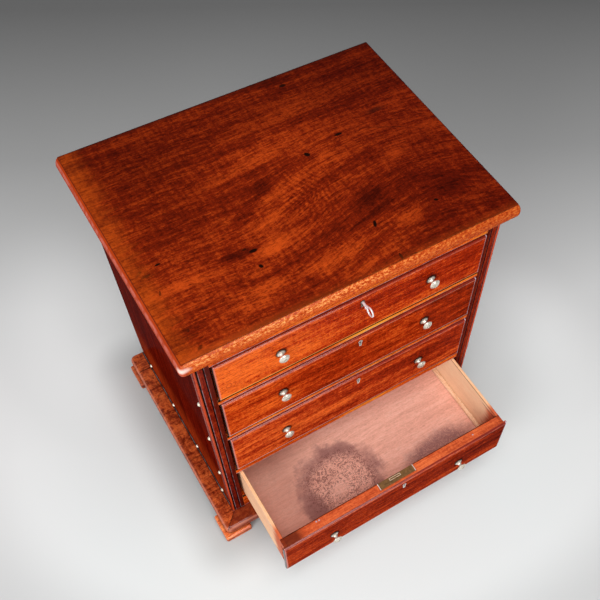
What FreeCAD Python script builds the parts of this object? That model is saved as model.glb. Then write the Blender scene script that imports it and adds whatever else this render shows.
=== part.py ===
import FreeCAD, Part
import Sketcher
import math
import os
from FreeCAD import Placement, Rotation, Vector

# Chest of four drawers with the bottom drawer pulled open and a key in the top drawer's lock.
# Millimetres. +X is to the right, +Y towards the back, +Z up. The origin is on the floor, under the
# middle of everything that stands there, the open drawer included.

doc = FreeCAD.newDocument("chest_of_drawers")
sheet = doc.addObject("Spreadsheet::Sheet", "sizes")
size_names = []


class Quantity:
    """A number together with the spreadsheet expression that gives it."""

    def __init__(self, value, text):
        self.value = value
        self.text = text

    def combined(self, other, sign, value):
        return Quantity(value, "(%s %s %s)" % (self.text, sign, other.text))

    def __add__(self, other):
        other = quantity(other)
        return self.combined(other, "+", self.value + other.value)

    def __radd__(self, other):
        return quantity(other) + self

    def __sub__(self, other):
        other = quantity(other)
        return self.combined(other, "-", self.value - other.value)

    def __rsub__(self, other):
        return quantity(other) - self

    def __mul__(self, other):
        other = quantity(other)
        return self.combined(other, "*", self.value * other.value)

    def __rmul__(self, other):
        return quantity(other) * self

    def __truediv__(self, other):
        other = quantity(other)
        return self.combined(other, "/", self.value / other.value)

    def __neg__(self):
        return quantity(0) - self


def quantity(number):
    if isinstance(number, Quantity):
        return number
    return Quantity(float(number), repr(float(number)))


def size(name, value):
    """Write one named size into the spreadsheet."""
    size_names.append(name)
    row = len(size_names)
    sheet.set("A%d" % row, name)
    sheet.set("B%d" % row, repr(float(value)))
    sheet.setAlias("B%d" % row, name)
    return Quantity(float(value), "sizes." + name)


# Top board
slab_width = size("slab_width", 384.0)
slab_depth = size("slab_depth", 301.0)
slab_thickness = size("slab_thickness", 17.2)
slab_side_overhang = size("slab_side_overhang", 12.7)
slab_front_overhang = size("slab_front_overhang", 12.2)
slab_corner_radius = size("slab_corner_radius", 4.8)
moulding_width = size("moulding_width", 4.0)
moulding_nose_height = size("moulding_nose_height", 6.6)
moulding_foot_width = size("moulding_foot_width", 3.0)
quirk_height = size("quirk_height", 0.8)

# Carcase
back_overhang = size("back_overhang", 2.0)
side_thickness = size("side_thickness", 15.0)
side_inset = size("side_inset", 2.3)
back_thickness = size("back_thickness", 6.0)
back_lap = size("back_lap", 8.0)
back_clearance = size("back_clearance", 0.3)
rail_depth = size("rail_depth", 40.0)
rail_housing = size("rail_housing", 4.0)
top_rail_height = size("top_rail_height", 20.0)
rail_height = size("rail_height", 10.0)
lower_rail_height = size("lower_rail_height", 13.0)
bottom_rail_height = size("bottom_rail_height", 31.3)

# Openings for the drawers, from the top one down
opening_one_height = size("opening_one_height", 62.5)
opening_two_height = size("opening_two_height", 71.0)
opening_three_height = size("opening_three_height", 77.0)
opening_four_height = size("opening_four_height", 70.0)

# Pilaster strips on the front edges of the side boards
pilaster_depth = size("pilaster_depth", 4.5)
pilaster_bead_radius = size("pilaster_bead_radius", 2.0)
pilaster_groove_depth = size("pilaster_groove_depth", 1.4)
pilaster_groove_width = size("pilaster_groove_width", 1.1)
outer_groove_at = size("outer_groove_at", 3.9)
inner_groove_at = size("inner_groove_at", 10.9)
pilaster_arris = size("pilaster_arris", 0.3)

# Base board and feet
base_thickness = size("base_thickness", 13.8)
base_side_overhang = size("base_side_overhang", 18.9)
base_front_overhang = size("base_front_overhang", 20.9)
base_back_overhang = size("base_back_overhang", 1.5)
base_corner_radius = size("base_corner_radius", 8.0)
base_top_rounding = size("base_top_rounding", 5.0)
base_bottom_rounding = size("base_bottom_rounding", 4.0)
foot_height = size("foot_height", 11.5)
foot_width = size("foot_width", 36.5)
foot_length = size("foot_length", 38.0)
foot_projection = size("foot_projection", 4.2)
back_foot_inset = size("back_foot_inset", 5.0)
foot_bead_rounding = size("foot_bead_rounding", 2.3)
foot_corner_radius = size("foot_corner_radius", 2.6)

# Runners and guides
runner_width = size("runner_width", 10.0)
guide_height = size("guide_height", 10.0)
guide_clearance = size("guide_clearance", 0.6)
runner_end_gap = size("runner_end_gap", 0.3)

# Brass studs
stud_radius = size("stud_radius", 2.5)
stud_pin_radius = size("stud_pin_radius", 0.7)
stud_pin_length = size("stud_pin_length", 6.0)
pin_clearance = size("pin_clearance", 0.05)
lower_stud_height = size("lower_stud_height", 3.4)
lower_stud_first = size("lower_stud_first", 32.7)
lower_stud_spacing = size("lower_stud_spacing", 74.1)
front_stud_setback = size("front_stud_setback", 15.6)
first_stud_drop = size("first_stud_drop", 100.6)
second_stud_drop = size("second_stud_drop", 179.4)
third_stud_drop = size("third_stud_drop", 271.7)
lower_stud_count = 4
stud_dome_angle = 6.0

# Drawers
drawer_gap = size("drawer_gap", 0.5)
front_end_gap = size("front_end_gap", 1.6)
front_proud = size("front_proud", 2.9)
front_thickness = size("front_thickness", 15.0)
front_lip = size("front_lip", 4.0)
front_rounding = size("front_rounding", 2.4)
drawer_side_thickness = size("drawer_side_thickness", 4.0)
drawer_side_step = size("drawer_side_step", 3.0)
drawer_side_drop = size("drawer_side_drop", 0.5)
drawer_end_gap = size("drawer_end_gap", 21.7)
drawer_back_thickness = size("drawer_back_thickness", 5.0)
drawer_back_setback = size("drawer_back_setback", 3.0)
drawer_back_drop = size("drawer_back_drop", 3.0)
panel_height = size("panel_height", 6.0)
panel_thickness = size("panel_thickness", 3.0)
panel_groove = size("panel_groove", 1.5)
panel_front_groove = size("panel_front_groove", 4.0)
panel_clearance = size("panel_clearance", 0.2)
half_pin = size("half_pin", 5.0)
whole_pin = size("whole_pin", 6.0)
tail_flare = size("tail_flare", 1.5)
tail_count = 3
slip_size = size("slip_size", 4.6)
slip_nose = size("slip_nose", 0.92)
bottom_drawer_open = size("bottom_drawer_open", 110.5)
open_drawer = 4
locked_drawers = (1, open_drawer)
key_drawer = 1

# Knobs
knob_one_left = size("knob_one_left", 89.4)
knob_one_right = size("knob_one_right", 91.0)
knob_one_height = size("knob_one_height", 33.2)
knob_two_left = size("knob_two_left", 91.3)
knob_two_right = size("knob_two_right", 91.2)
knob_two_height = size("knob_two_height", 38.0)
knob_three_left = size("knob_three_left", 92.3)
knob_three_right = size("knob_three_right", 92.6)
knob_three_height = size("knob_three_height", 38.5)
knob_four_left = size("knob_four_left", 93.4)
knob_four_right = size("knob_four_right", 90.8)
knob_four_height = size("knob_four_height", 29.0)
knob_base_radius = size("knob_base_radius", 5.2)
knob_base_height = size("knob_base_height", 0.7)
knob_cove_height = size("knob_cove_height", 3.6)
knob_cove_bulge = size("knob_cove_bulge", 0.75)
knob_waist_radius = size("knob_waist_radius", 2.0)
knob_waist_height = size("knob_waist_height", 1.2)
knob_flare_height = size("knob_flare_height", 1.9)
knob_flare_bulge = size("knob_flare_bulge", 0.75)
knob_head_radius = size("knob_head_radius", 5.9)
knob_rim_height = size("knob_rim_height", 0.9)
knob_rim_bulge = size("knob_rim_bulge", 0.215)
knob_dome_height = size("knob_dome_height", 2.0)
knob_dome_bulge = size("knob_dome_bulge", 0.35)
knob_button_radius = size("knob_button_radius", 1.6)
knob_button_groove = size("knob_button_groove", 0.3)
knob_button_rise = size("knob_button_rise", 0.7)
knob_button_rounding = size("knob_button_rounding", 0.5)
knob_pin_radius = size("knob_pin_radius", 1.5)
knob_pin_length = size("knob_pin_length", 8.0)

# Keyholes, locks, bolts and the key
keyhole_offset = size("keyhole_offset", 5.5)
keyhole_drop = size("keyhole_drop", 9.3)
escutcheon_radius = size("escutcheon_radius", 2.6)
escutcheon_skirt = size("escutcheon_skirt", 1.7)
escutcheon_length = size("escutcheon_length", 8.1)
escutcheon_depth = size("escutcheon_depth", 2.7)
escutcheon_proud = size("escutcheon_proud", 0.3)
escutcheon_clearance = size("escutcheon_clearance", 0.1)
keyhole_radius = size("keyhole_radius", 1.75)
keyhole_slot = size("keyhole_slot", 1.8)
lock_length = size("lock_length", 51.0)
lock_plate_thickness = size("lock_plate_thickness", 1.6)
lock_case_length = size("lock_case_length", 44.0)
lock_case_height = size("lock_case_height", 24.4)
lock_setback = size("lock_setback", 5.6)
lock_depth = size("lock_depth", 9.1)
lock_wall = size("lock_wall", 1.0)
lock_clearance = size("lock_clearance", 0.15)
bolt_length = size("bolt_length", 15.8)
bolt_thickness = size("bolt_thickness", 3.2)
bolt_height = size("bolt_height", 20.0)
bolt_offset = size("bolt_offset", -1.5)
bolt_clearance = size("bolt_clearance", 0.3)
mortise_depth = size("mortise_depth", 5.5)
key_shank_radius = size("key_shank_radius", 1.4)
key_projection = size("key_projection", 9.0)
key_bow_radius = size("key_bow_radius", 5.2)
key_wire_radius = size("key_wire_radius", 0.9)
key_collar_radius = size("key_collar_radius", 2.1)
key_collar_length = size("key_collar_length", 1.3)
key_bit_length = size("key_bit_length", 2.4)
key_bit_reach = size("key_bit_reach", 5.8)
key_bit_thickness = size("key_bit_thickness", 1.3)
key_bit_clearance = size("key_bit_clearance", 0.2)

# Heights and widths that follow from the sizes
rail_heights = [top_rail_height, rail_height, rail_height, lower_rail_height]
opening_heights = [opening_one_height, opening_two_height, opening_three_height, opening_four_height]
front_stud_drops = [first_stud_drop, second_stud_drop, third_stud_drop]
knob_heights = [knob_one_height, knob_two_height, knob_three_height, knob_four_height]
knob_lefts = [knob_one_left, knob_two_left, knob_three_left, knob_four_left]
knob_rights = [knob_one_right, knob_two_right, knob_three_right, knob_four_right]
carcase_height = sum(rail_heights + opening_heights, bottom_rail_height)
base_top = foot_height + base_thickness
slab_underside = base_top + carcase_height
half_carcase = slab_width / 2 - slab_side_overhang
carcase_depth = slab_depth - slab_front_overhang - back_overhang
half_inside = half_carcase - side_inset - side_thickness
pilaster_width = half_carcase - half_inside
half_front = half_inside - front_end_gap
half_box = half_front - drawer_side_step
half_front_body = half_box - drawer_side_thickness
drawer_length = front_proud + carcase_depth - back_thickness - drawer_end_gap
keyhole_reach = key_bit_reach - keyhole_slot / 2 + key_bit_clearance
knob_head_base = knob_base_height + knob_cove_height + knob_waist_height + knob_flare_height
knob_dome_top = knob_head_base + knob_rim_height + knob_dome_height
knob_length = knob_dome_top + knob_button_rise

# The carcase's front plane stands where the open drawer's knobs and the top board's back edge are
# equally far from the origin.
open_reach = front_proud + bottom_drawer_open + knob_length
front_plane = (open_reach - carcase_depth - back_overhang) / 2

# Heights nearer to each other than this are the same.
same_height = 0.0001


# Ways of making solids


def place(solid, x, y, z, rotation=None):
    """Put a solid at a point given from the carcase's front plane, with live expressions."""
    x, y, z = quantity(x), front_plane + y, quantity(z)
    solid.Placement = Placement(Vector(x.value, y.value, z.value), rotation or Rotation())
    for axis, coordinate in (("x", x), ("y", y), ("z", z)):
        solid.setExpression("Placement.Base." + axis, coordinate.text)


def bind(thing, prop, amount):
    thing.setExpression(prop, quantity(amount).text)


def box(name, x, y, z, length, width, height):
    solid = doc.addObject("Part::Box", name)
    bind(solid, "Length", length)
    bind(solid, "Width", width)
    bind(solid, "Height", height)
    place(solid, x, y, z)
    return solid


def span(name, low, high):
    """A box between two opposite corners."""
    sides = [quantity(b) - quantity(a) for a, b in zip(low, high)]
    return box(name, low[0], low[1], low[2], *sides)


turns = {
    "up": Rotation(),
    "back": Rotation(Vector(1, 0, 0), -90),
    "front": Rotation(Vector(1, 0, 0), 90),
    "left": Rotation(Vector(0, 1, 0), -90),
    "right": Rotation(Vector(0, 1, 0), 90),
}


def cylinder(name, radius, height, x, y, z, towards="up"):
    solid = doc.addObject("Part::Cylinder", name)
    bind(solid, "Radius", radius)
    bind(solid, "Height", height)
    place(solid, x, y, z, turns[towards])
    return solid


def join(name, solids):
    joined = doc.addObject("Part::MultiFuse", name)
    joined.Shapes = solids
    joined.Refine = True
    return joined


def cut(name, base, tools):
    tool = tools[0] if len(tools) == 1 else join(name + "_tools", tools)
    rest = doc.addObject("Part::Cut", name)
    rest.Base = base
    rest.Tool = tool
    rest.Refine = True
    return rest


def new_sketch(body, name, role, offset=None):
    """A sketch on one of the body's own planes, moved along its normal."""
    sketch = body.newObject("Sketcher::SketchObject", name)
    planes = [feature for feature in body.Origin.OriginFeatures if feature.Role == role]
    sketch.AttachmentSupport = [(planes[0], "")]
    sketch.MapMode = "FlatFace"
    if offset is not None:
        sketch.AttachmentOffset = Placement(Vector(0, 0, offset.value), Rotation())
        sketch.setExpression("AttachmentOffset.Base.z", offset.text)
    return sketch


def arc_between(start, end, radius):
    """The short arc from start to end. A positive radius puts its centre on the left."""
    chord = end - start
    height = math.sqrt(max(radius * radius - chord.Length ** 2 / 4.0, 0.0))
    left = Vector(-chord.y, chord.x, 0).normalize()
    centre = (start + end) * 0.5 + left * (height if radius > 0 else -height)
    first, last = (start, end) if radius > 0 else (end, start)
    angles = [math.atan2(point.y - centre.y, point.x - centre.x) for point in (first, last)]
    if angles[1] < angles[0]:
        angles[1] += 2 * math.pi
    circle = Part.Circle(centre, Vector(0, 0, 1), abs(radius))
    return Part.ArcOfCircle(circle, angles[0], angles[1])


def outline(sketch, corners):
    """Draw a closed outline. Each corner is (x, y) or (x, y, radius of the arc that follows).

    Of a line or an arc, vertex 1 is where it starts and vertex 2 is where it ends. An arc runs
    anticlockwise, so one with a negative radius is drawn the other way round.
    """
    first = sketch.GeometryCount
    points = [Vector(quantity(c[0]).value, quantity(c[1]).value, 0) for c in corners]
    radii = [quantity(c[2]) if len(c) > 2 else None for c in corners]
    count = len(corners)
    ends = []
    for index, radius in enumerate(radii):
        start, end = points[index], points[(index + 1) % count]
        if radius is None:
            sketch.addGeometry(Part.LineSegment(start, end))
            ends.append((1, 2))
        else:
            sketch.addGeometry(arc_between(start, end, radius.value))
            ends.append((1, 2) if radius.value > 0 else (2, 1))
    for index in range(count):
        following = (index + 1) % count
        sketch.addConstraint(Sketcher.Constraint(
            "Coincident", first + index, ends[index][1], first + following, ends[following][0]))
    for index, corner in enumerate(corners):
        vertex = ends[index][0]
        for kind, amount in (("DistanceX", corner[0]), ("DistanceY", corner[1])):
            amount = quantity(amount)
            number = sketch.addConstraint(Sketcher.Constraint(
                kind, -1, 1, first + index, vertex, amount.value))
            sketch.setExpression("Constraints[%d]" % number, amount.text)
        if radii[index] is not None:
            radius = radii[index] if radii[index].value > 0 else -radii[index]
            number = sketch.addConstraint(Sketcher.Constraint("Radius", first + index, radius.value))
            sketch.setExpression("Constraints[%d]" % number, radius.text)


def rectangle(sketch, left, bottom, right, top):
    outline(sketch, [(left, bottom), (right, bottom), (right, top), (left, top)])


def rounded_rectangle(sketch, left, bottom, right, top, radius):
    """A rectangle with round corners. It starts half way up its right side."""
    outline(sketch, [
        (right, (bottom + top) / 2),
        (right, top - radius, radius),
        (right - radius, top),
        (left + radius, top, radius),
        (left, top - radius),
        (left, bottom + radius, radius),
        (left + radius, bottom),
        (right - radius, bottom, radius),
        (right, bottom + radius),
    ])


def pad(body, name, sketch, length, reverse=False, symmetric=False):
    feature = body.newObject("PartDesign::Pad", name)
    feature.Profile = sketch
    bind(feature, "Length", length)
    feature.Reversed = reverse
    if symmetric:
        feature.SideType = "Symmetric"
    return feature


def round_edges(body, name, chosen, radius):
    """Round the edges of the body's tip for which chosen(bounding box) is true."""
    doc.recompute()
    tip = body.Tip
    edges = [
        "Edge%d" % (index + 1)
        for index, edge in enumerate(tip.Shape.Edges)
        if chosen(edge.BoundBox)
    ]
    feature = body.newObject("PartDesign::Fillet", name)
    feature.Base = (tip, edges)
    bind(feature, "Radius", radius)
    return feature


def is_level(box_of_edge, height):
    lowest, highest = box_of_edge.ZMin, box_of_edge.ZMax
    return abs(lowest - height) < same_height and abs(highest - height) < same_height


# Top board with its thumb moulding

top_board = doc.addObject("PartDesign::Body", "top_board")
inner_half = slab_width / 2 - moulding_width
inner_front = moulding_width
inner_back = slab_depth - moulding_width
inner_radius = slab_corner_radius - moulding_width
field = new_sketch(top_board, "top_board_field", "XY_Plane")
rounded_rectangle(field, -inner_half, inner_front, inner_half, inner_back, inner_radius)
pad(top_board, "top_board_slab", field, slab_thickness)

moulding_path = new_sketch(top_board, "top_board_path", "XY_Plane")
rounded_rectangle(moulding_path, -inner_half, inner_front, inner_half, inner_back, inner_radius)
moulding = new_sketch(top_board, "top_board_moulding", "XZ_Plane", -(slab_depth / 2))
quirk_top = slab_thickness - quirk_height


def upright_radius(width, height):
    """The radius of an arc that starts upright and ends this much further in and up."""
    return (width * width + height * height) / (width * 2)


upper_curve = upright_radius(moulding_width, quirk_top - moulding_nose_height)
lower_curve = upright_radius(moulding_foot_width, moulding_nose_height)
outline(moulding, [
    (inner_half, 0),
    (slab_width / 2 - moulding_foot_width, 0, lower_curve),
    (slab_width / 2, moulding_nose_height, upper_curve),
    (inner_half, quirk_top),
])
edge = top_board.newObject("PartDesign::AdditivePipe", "top_board_edge")
edge.Profile = moulding
edge.Spine = (moulding_path, ["Edge%d" % (index + 1) for index in range(moulding_path.GeometryCount)])
place(top_board, 0, -slab_front_overhang, slab_underside)

# Base board and feet

base_board = doc.addObject("PartDesign::Body", "base_board")
half_base = half_carcase + base_side_overhang
base_length = base_front_overhang + carcase_depth + base_back_overhang
plan = new_sketch(base_board, "base_board_plan", "XY_Plane")
rounded_rectangle(plan, -half_base, quantity(0), half_base, base_length, base_corner_radius)
pad(base_board, "base_board_pad", plan, base_thickness)
round_edges(base_board, "base_board_nose",
            lambda edge_box: is_level(edge_box, base_thickness.value), base_top_rounding)
round_edges(base_board, "base_board_under",
            lambda edge_box: is_level(edge_box, 0.0), base_bottom_rounding)
place(base_board, 0, -base_front_overhang, foot_height)


def foot_bead(name, x, y, z):
    """One layer of a foot, rounded above and below."""
    body = doc.addObject("PartDesign::Body", name)
    layer = new_sketch(body, name + "_plan", "XY_Plane")
    rounded_rectangle(layer, quantity(0), quantity(0), foot_width, foot_length, foot_corner_radius)
    pad(body, name + "_pad", layer, foot_height / 2)
    round_edges(body, name + "_round",
                lambda edge_box: is_level(edge_box, 0.0) or is_level(edge_box, foot_height.value / 2),
                foot_bead_rounding)
    place(body, x, y, z)
    return body


def foot(name, x, y):
    beads = [
        foot_bead(name + "_lower_bead", x, y, 0),
        foot_bead(name + "_upper_bead", x, y, foot_height / 2),
    ]
    return join(name, beads)


half_feet = half_base + foot_projection
front_feet_y = -(base_front_overhang + foot_projection)
back_feet_y = carcase_depth - back_foot_inset - foot_length
feet = [
    foot("front_left_foot", -half_feet, front_feet_y),
    foot("front_right_foot", half_feet - foot_width, front_feet_y),
    foot("back_left_foot", -half_feet, back_feet_y),
    foot("back_right_foot", half_feet - foot_width, back_feet_y),
]

# Rails between the drawers

drawer_floors = []
rails = []
level = slab_underside
rail_names = ["top_rail", "upper_rail", "middle_rail", "lower_rail"]
mortised_rails = ["top_rail", "lower_rail"]
rail_levels = []
for rail_name, height, opening in zip(rail_names, rail_heights, opening_heights):
    level = level - height
    rail_levels.append((rail_name, level, height))
    level = level - opening
    drawer_floors.append(level)
rail_levels.append(("bottom_rail", base_top, bottom_rail_height))

# The bolts stand this far behind the front plane when their drawers are shut.
bolt_front = lock_setback + lock_depth - lock_wall - bolt_clearance - bolt_thickness
bolt_left = bolt_offset - bolt_length / 2


def rail(name, bottom, height, with_mortise):
    top = bottom + height
    face = span(name + "_face", (-half_inside, 0, bottom), (half_inside, rail_depth, top))
    half_housed = half_inside + rail_housing
    tenons = span(name + "_tenons", (-half_housed, pilaster_depth, bottom), (half_housed, rail_depth, top))
    if not with_mortise:
        return join(name, [face, tenons])
    wood = join(name + "_wood", [face, tenons])
    room = bolt_clearance + bolt_clearance
    mortise_front = bolt_front - front_proud - room
    mortise = span(
        name + "_mortise",
        (bolt_left - room, mortise_front, bottom),
        (bolt_left + bolt_length + room, mortise_front + bolt_thickness + room * 2, bottom + mortise_depth))
    return cut(name, wood, [mortise])


for rail_name, bottom, height in rail_levels:
    rails.append(rail(rail_name, bottom, height, rail_name in mortised_rails))

# Side boards, back board, pilasters and runners


def mirrored_span(name, side, near, far, y_low, y_high, z_low, z_high):
    """A box between two distances from the middle, on the left (-1) or the right (1)."""
    near, far = quantity(near), quantity(far)
    if side < 0:
        near, far = -far, -near
    return span(name, (near, y_low, z_low), (far, y_high, z_high))


def side_board(name, side):
    wood = mirrored_span(name + "_wood", side, half_inside, half_inside + side_thickness,
                         pilaster_depth, carcase_depth, base_top, slab_underside)
    tools = [mirrored_span(name + "_rabbet", side, half_inside, half_inside + back_lap,
                           carcase_depth - back_thickness, carcase_depth, base_top, slab_underside)]
    for rail_name, bottom, height in rail_levels:
        tools.append(mirrored_span(
            "%s_%s_housing" % (name, rail_name), side, half_inside, half_inside + rail_housing,
            pilaster_depth, rail_depth, bottom, bottom + height))
    towards = "right" if side < 0 else "left"
    for number, (y, z) in enumerate(stud_places):
        tools.append(cylinder(
            "%s_stud_hole_%d" % (name, number), stud_pin_radius + pin_clearance,
            stud_pin_length + pin_clearance, side * (half_carcase - side_inset), y, z, towards))
    return cut(name, wood, tools)


def studs(name, side):
    """Brass studs: a round head on the side board and a pin in its hole."""
    pieces = []
    face = half_carcase - side_inset
    outwards, inwards = ("left", "right") if side < 0 else ("right", "left")
    sink = stud_radius * math.sin(math.radians(stud_dome_angle))
    for number, (y, z) in enumerate(stud_places):
        dome = doc.addObject("Part::Sphere", "%s_dome_%d" % (name, number))
        bind(dome, "Radius", stud_radius)
        dome.Angle1 = stud_dome_angle
        place(dome, side * (face - sink), y, z, turns[outwards])
        pin = cylinder("%s_pin_%d" % (name, number), stud_pin_radius, stud_pin_length,
                       side * face, y, z, inwards)
        pieces += [dome, pin]
    return join(name, pieces)


stud_places = []
for number in range(lower_stud_count):
    stud_places.append((lower_stud_first + lower_stud_spacing * number, base_top + lower_stud_height))
for drop in front_stud_drops:
    stud_places.append((front_stud_setback, slab_underside - drop))

side_boards = [side_board("left_side", -1), side_board("right_side", 1)]
stud_rows = [studs("left_studs", -1), studs("right_studs", 1)]
half_back = half_inside + back_lap - back_clearance
back_board = span("back_board", (-half_back, carcase_depth - back_thickness, base_top),
                  (half_back, carcase_depth, slab_underside))


def pilaster(name, side):
    """A strip with a corner bead, a groove, a wide band, a groove and a narrow band."""
    body = doc.addObject("PartDesign::Body", name)
    section = new_sketch(body, name + "_section", "XY_Plane")
    radius = pilaster_bead_radius
    depth = pilaster_groove_depth
    inner_groove_end = inner_groove_at + pilaster_groove_width
    outer_groove_end = outer_groove_at + pilaster_groove_width
    corners = [
        (0, pilaster_depth),
        (0, radius, radius),
        (radius, 0, radius),
        (outer_groove_at, depth),
        (outer_groove_end, depth),
        (outer_groove_end, pilaster_arris),
        (outer_groove_end + pilaster_arris, 0),
        (inner_groove_at - pilaster_arris, 0),
        (inner_groove_at, pilaster_arris),
        (inner_groove_at, depth),
        (inner_groove_end, depth),
        (inner_groove_end, pilaster_arris),
        (inner_groove_end + pilaster_arris, 0),
        (pilaster_width, 0),
        (pilaster_width, pilaster_depth),
    ]
    flipped = []
    for corner in corners:
        place_x = quantity(corner[0]) * -side
        bends = [corner[2] * -side] if len(corner) > 2 else []
        flipped.append(tuple([place_x, corner[1]] + bends))
    outline(section, flipped)
    pad(body, name + "_pad", section, carcase_height)
    place(body, side * half_carcase, 0, base_top)
    return body


pilasters = [pilaster("left_pilaster", -1), pilaster("right_pilaster", 1)]


def runners(name, side):
    """Four runners with a guide on each, behind the rails."""
    pieces = []
    end = carcase_depth - back_thickness - runner_end_gap
    guide_face = half_box + guide_clearance
    for number, floor in enumerate(drawer_floors):
        ledge = mirrored_span("%s_ledge_%d" % (name, number + 1), side,
                              half_inside - runner_width, half_inside,
                              rail_depth, end, floor - rail_height, floor)
        guide = mirrored_span("%s_guide_%d" % (name, number + 1), side, guide_face, half_inside,
                              rail_depth, end, floor - rail_height, floor + guide_height)
        pieces += [ledge, guide]
    return join(name, pieces)


runner_sets = [runners("left_runners", -1), runners("right_runners", 1)]

# Drawers with their fittings


def pin_shapes(height):
    """Outlines of the dovetail pins, seen from the side, as (front y, back y, low, high) corners."""
    tail = (height - half_pin * 2 - whole_pin * (tail_count - 1)) / tail_count
    shapes = []
    shapes.append([(front_lip, 0), (front_thickness, 0), (front_thickness, half_pin),
                   (front_lip, half_pin - tail_flare)])
    for count in range(1, tail_count):
        low = half_pin + tail * count + whole_pin * (count - 1)
        high = low + whole_pin
        shapes.append([(front_lip, low + tail_flare), (front_thickness, low),
                       (front_thickness, high), (front_lip, high - tail_flare)])
    shapes.append([(front_lip, height - half_pin + tail_flare), (front_thickness, height - half_pin),
                   (front_thickness, height - drawer_side_drop), (front_lip, height - drawer_side_drop)])
    return shapes


def keyhole_tools(name, x, y, z, radius, slot, reach, depth):
    """A round hole with a slot below it, running towards the back."""
    return [
        cylinder(name + "_eye", radius, depth, x, y, z, "back"),
        span(name + "_slot", (x - slot / 2, y, z - reach), (x + slot / 2, y + depth, z)),
        cylinder(name + "_toe", slot / 2, depth, x, y, z - reach, "back"),
    ]


def drawer_front(name, height, face, floor, knob_places, with_lock):
    body = doc.addObject("PartDesign::Body", name + "_wood")
    lip = new_sketch(body, name + "_lip_outline", "XZ_Plane")
    rectangle(lip, -half_front, quantity(0), half_front, height)
    pad(body, name + "_lip", lip, front_lip, reverse=True)
    round_edges(body, name + "_round", lambda edge_box: edge_box.YMax < same_height, front_rounding)
    inner = new_sketch(body, name + "_inner_outline", "XZ_Plane", -front_lip)
    rectangle(inner, -half_front_body, quantity(0), half_front_body, height)
    pad(body, name + "_inner", inner, front_thickness - front_lip, reverse=True)
    pins = new_sketch(body, name + "_pin_outline", "YZ_Plane")
    for shape in pin_shapes(height):
        outline(pins, shape)
    pad(body, name + "_pins", pins, half_box * 2, symmetric=True)
    place(body, 0, face, floor)

    groove_front = face + front_thickness - panel_front_groove
    tools = [span(name + "_groove", (-half_front_body, groove_front, floor + panel_height),
                  (half_front_body, face + front_thickness, floor + panel_height + panel_thickness))]
    for word, x, z in knob_places:
        tools.append(cylinder("%s_%s_knob_hole" % (name, word), knob_pin_radius + pin_clearance,
                              knob_pin_length + pin_clearance, x, face, z, "back"))
    key_z = floor + height - keyhole_drop
    tools += keyhole_tools(name + "_recess", keyhole_offset, face, key_z,
                           escutcheon_radius + escutcheon_clearance,
                           (escutcheon_skirt + escutcheon_clearance) * 2,
                           escutcheon_length - escutcheon_skirt, escutcheon_depth)
    tools += keyhole_tools(name + "_keyhole", keyhole_offset, face, key_z,
                           keyhole_radius, keyhole_slot, keyhole_reach,
                           front_thickness - front_lip)
    if with_lock:
        top = floor + height
        back = face + front_thickness
        plate_half = lock_length / 2 + lock_clearance
        case_half = lock_case_length / 2 + lock_clearance
        pocket_front = face + lock_setback - lock_clearance
        tools.append(span(name + "_plate_recess", (-plate_half, pocket_front, top - lock_plate_thickness),
                          (plate_half, back, top)))
        tools.append(span(
            name + "_case_recess",
            (-case_half, pocket_front, top - lock_plate_thickness - lock_case_height - lock_clearance),
            (case_half, back, top - lock_plate_thickness)))
    return cut(name, body, tools)


def drawer_side(name, side, height, face, floor):
    body = doc.addObject("PartDesign::Body", name + "_wood")
    outer = new_sketch(body, name + "_outline", "YZ_Plane")
    bottom_pin, first_pin, second_pin, top_pin = pin_shapes(height)
    side_top = height - drawer_side_drop
    outline(outer, [
        (drawer_length, 0),
        (drawer_length, side_top),
        (front_thickness, side_top),
        top_pin[1],
        top_pin[0],
        second_pin[3],
        second_pin[2],
        second_pin[1],
        second_pin[0],
        first_pin[3],
        first_pin[2],
        first_pin[1],
        first_pin[0],
        bottom_pin[3],
        bottom_pin[2],
        (front_thickness, 0),
    ])
    pad(body, name + "_pad", outer, drawer_side_thickness, reverse=side < 0)
    place(body, side * half_front_body, face, floor)
    groove_front = face + front_thickness - panel_front_groove
    groove = mirrored_span(name + "_groove", side, half_front_body, half_front_body + panel_groove,
                           groove_front, face + drawer_length,
                           floor + panel_height, floor + panel_height + panel_thickness)
    return cut(name, body, [groove])


def bulged(width, height, bulge):
    """The radius of an arc over this width and height that bulges this far from its chord."""
    return (width * width + height * height) / (bulge * 8) + bulge / 2


def knob(name, x, face, z):
    """A turned knob on its pin. The outline is drawn from the pin's end round to the button."""
    body = doc.addObject("PartDesign::Body", name)
    profile = new_sketch(body, name + "_profile", "XZ_Plane")
    waist_bottom = knob_base_height + knob_cove_height
    rim = knob_head_radius - knob_rim_bulge
    dome_end = knob_button_radius + knob_button_groove
    button_edge = knob_length - knob_button_rounding / 2
    button_top = knob_button_radius - knob_button_rounding
    cove = bulged(knob_base_radius - knob_waist_radius, knob_cove_height, knob_cove_bulge)
    flare = bulged(rim - knob_waist_radius, knob_flare_height, knob_flare_bulge)
    rim_arc = bulged(quantity(0), knob_rim_height, knob_rim_bulge)
    dome = bulged(rim - dome_end, knob_dome_height, knob_dome_bulge)
    outline(profile, [
        (0, -knob_pin_length),
        (knob_pin_radius, -knob_pin_length),
        (knob_pin_radius, 0),
        (knob_base_radius, 0),
        (knob_base_radius, knob_base_height, -cove),
        (knob_waist_radius, waist_bottom),
        (knob_waist_radius, waist_bottom + knob_waist_height, -flare),
        (rim, knob_head_base, rim_arc),
        (rim, knob_head_base + knob_rim_height, dome),
        (dome_end, knob_dome_top),
        (knob_button_radius, knob_dome_top - knob_button_groove),
        (knob_button_radius, button_edge),
        (button_top, knob_length),
        (0, knob_length),
    ])
    turned = body.newObject("PartDesign::Revolution", name + "_turned")
    turned.Profile = profile
    turned.ReferenceAxis = (profile, ["V_Axis"])
    turned.Angle = 360
    place(body, x, face, z, turns["front"])
    return body


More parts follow.
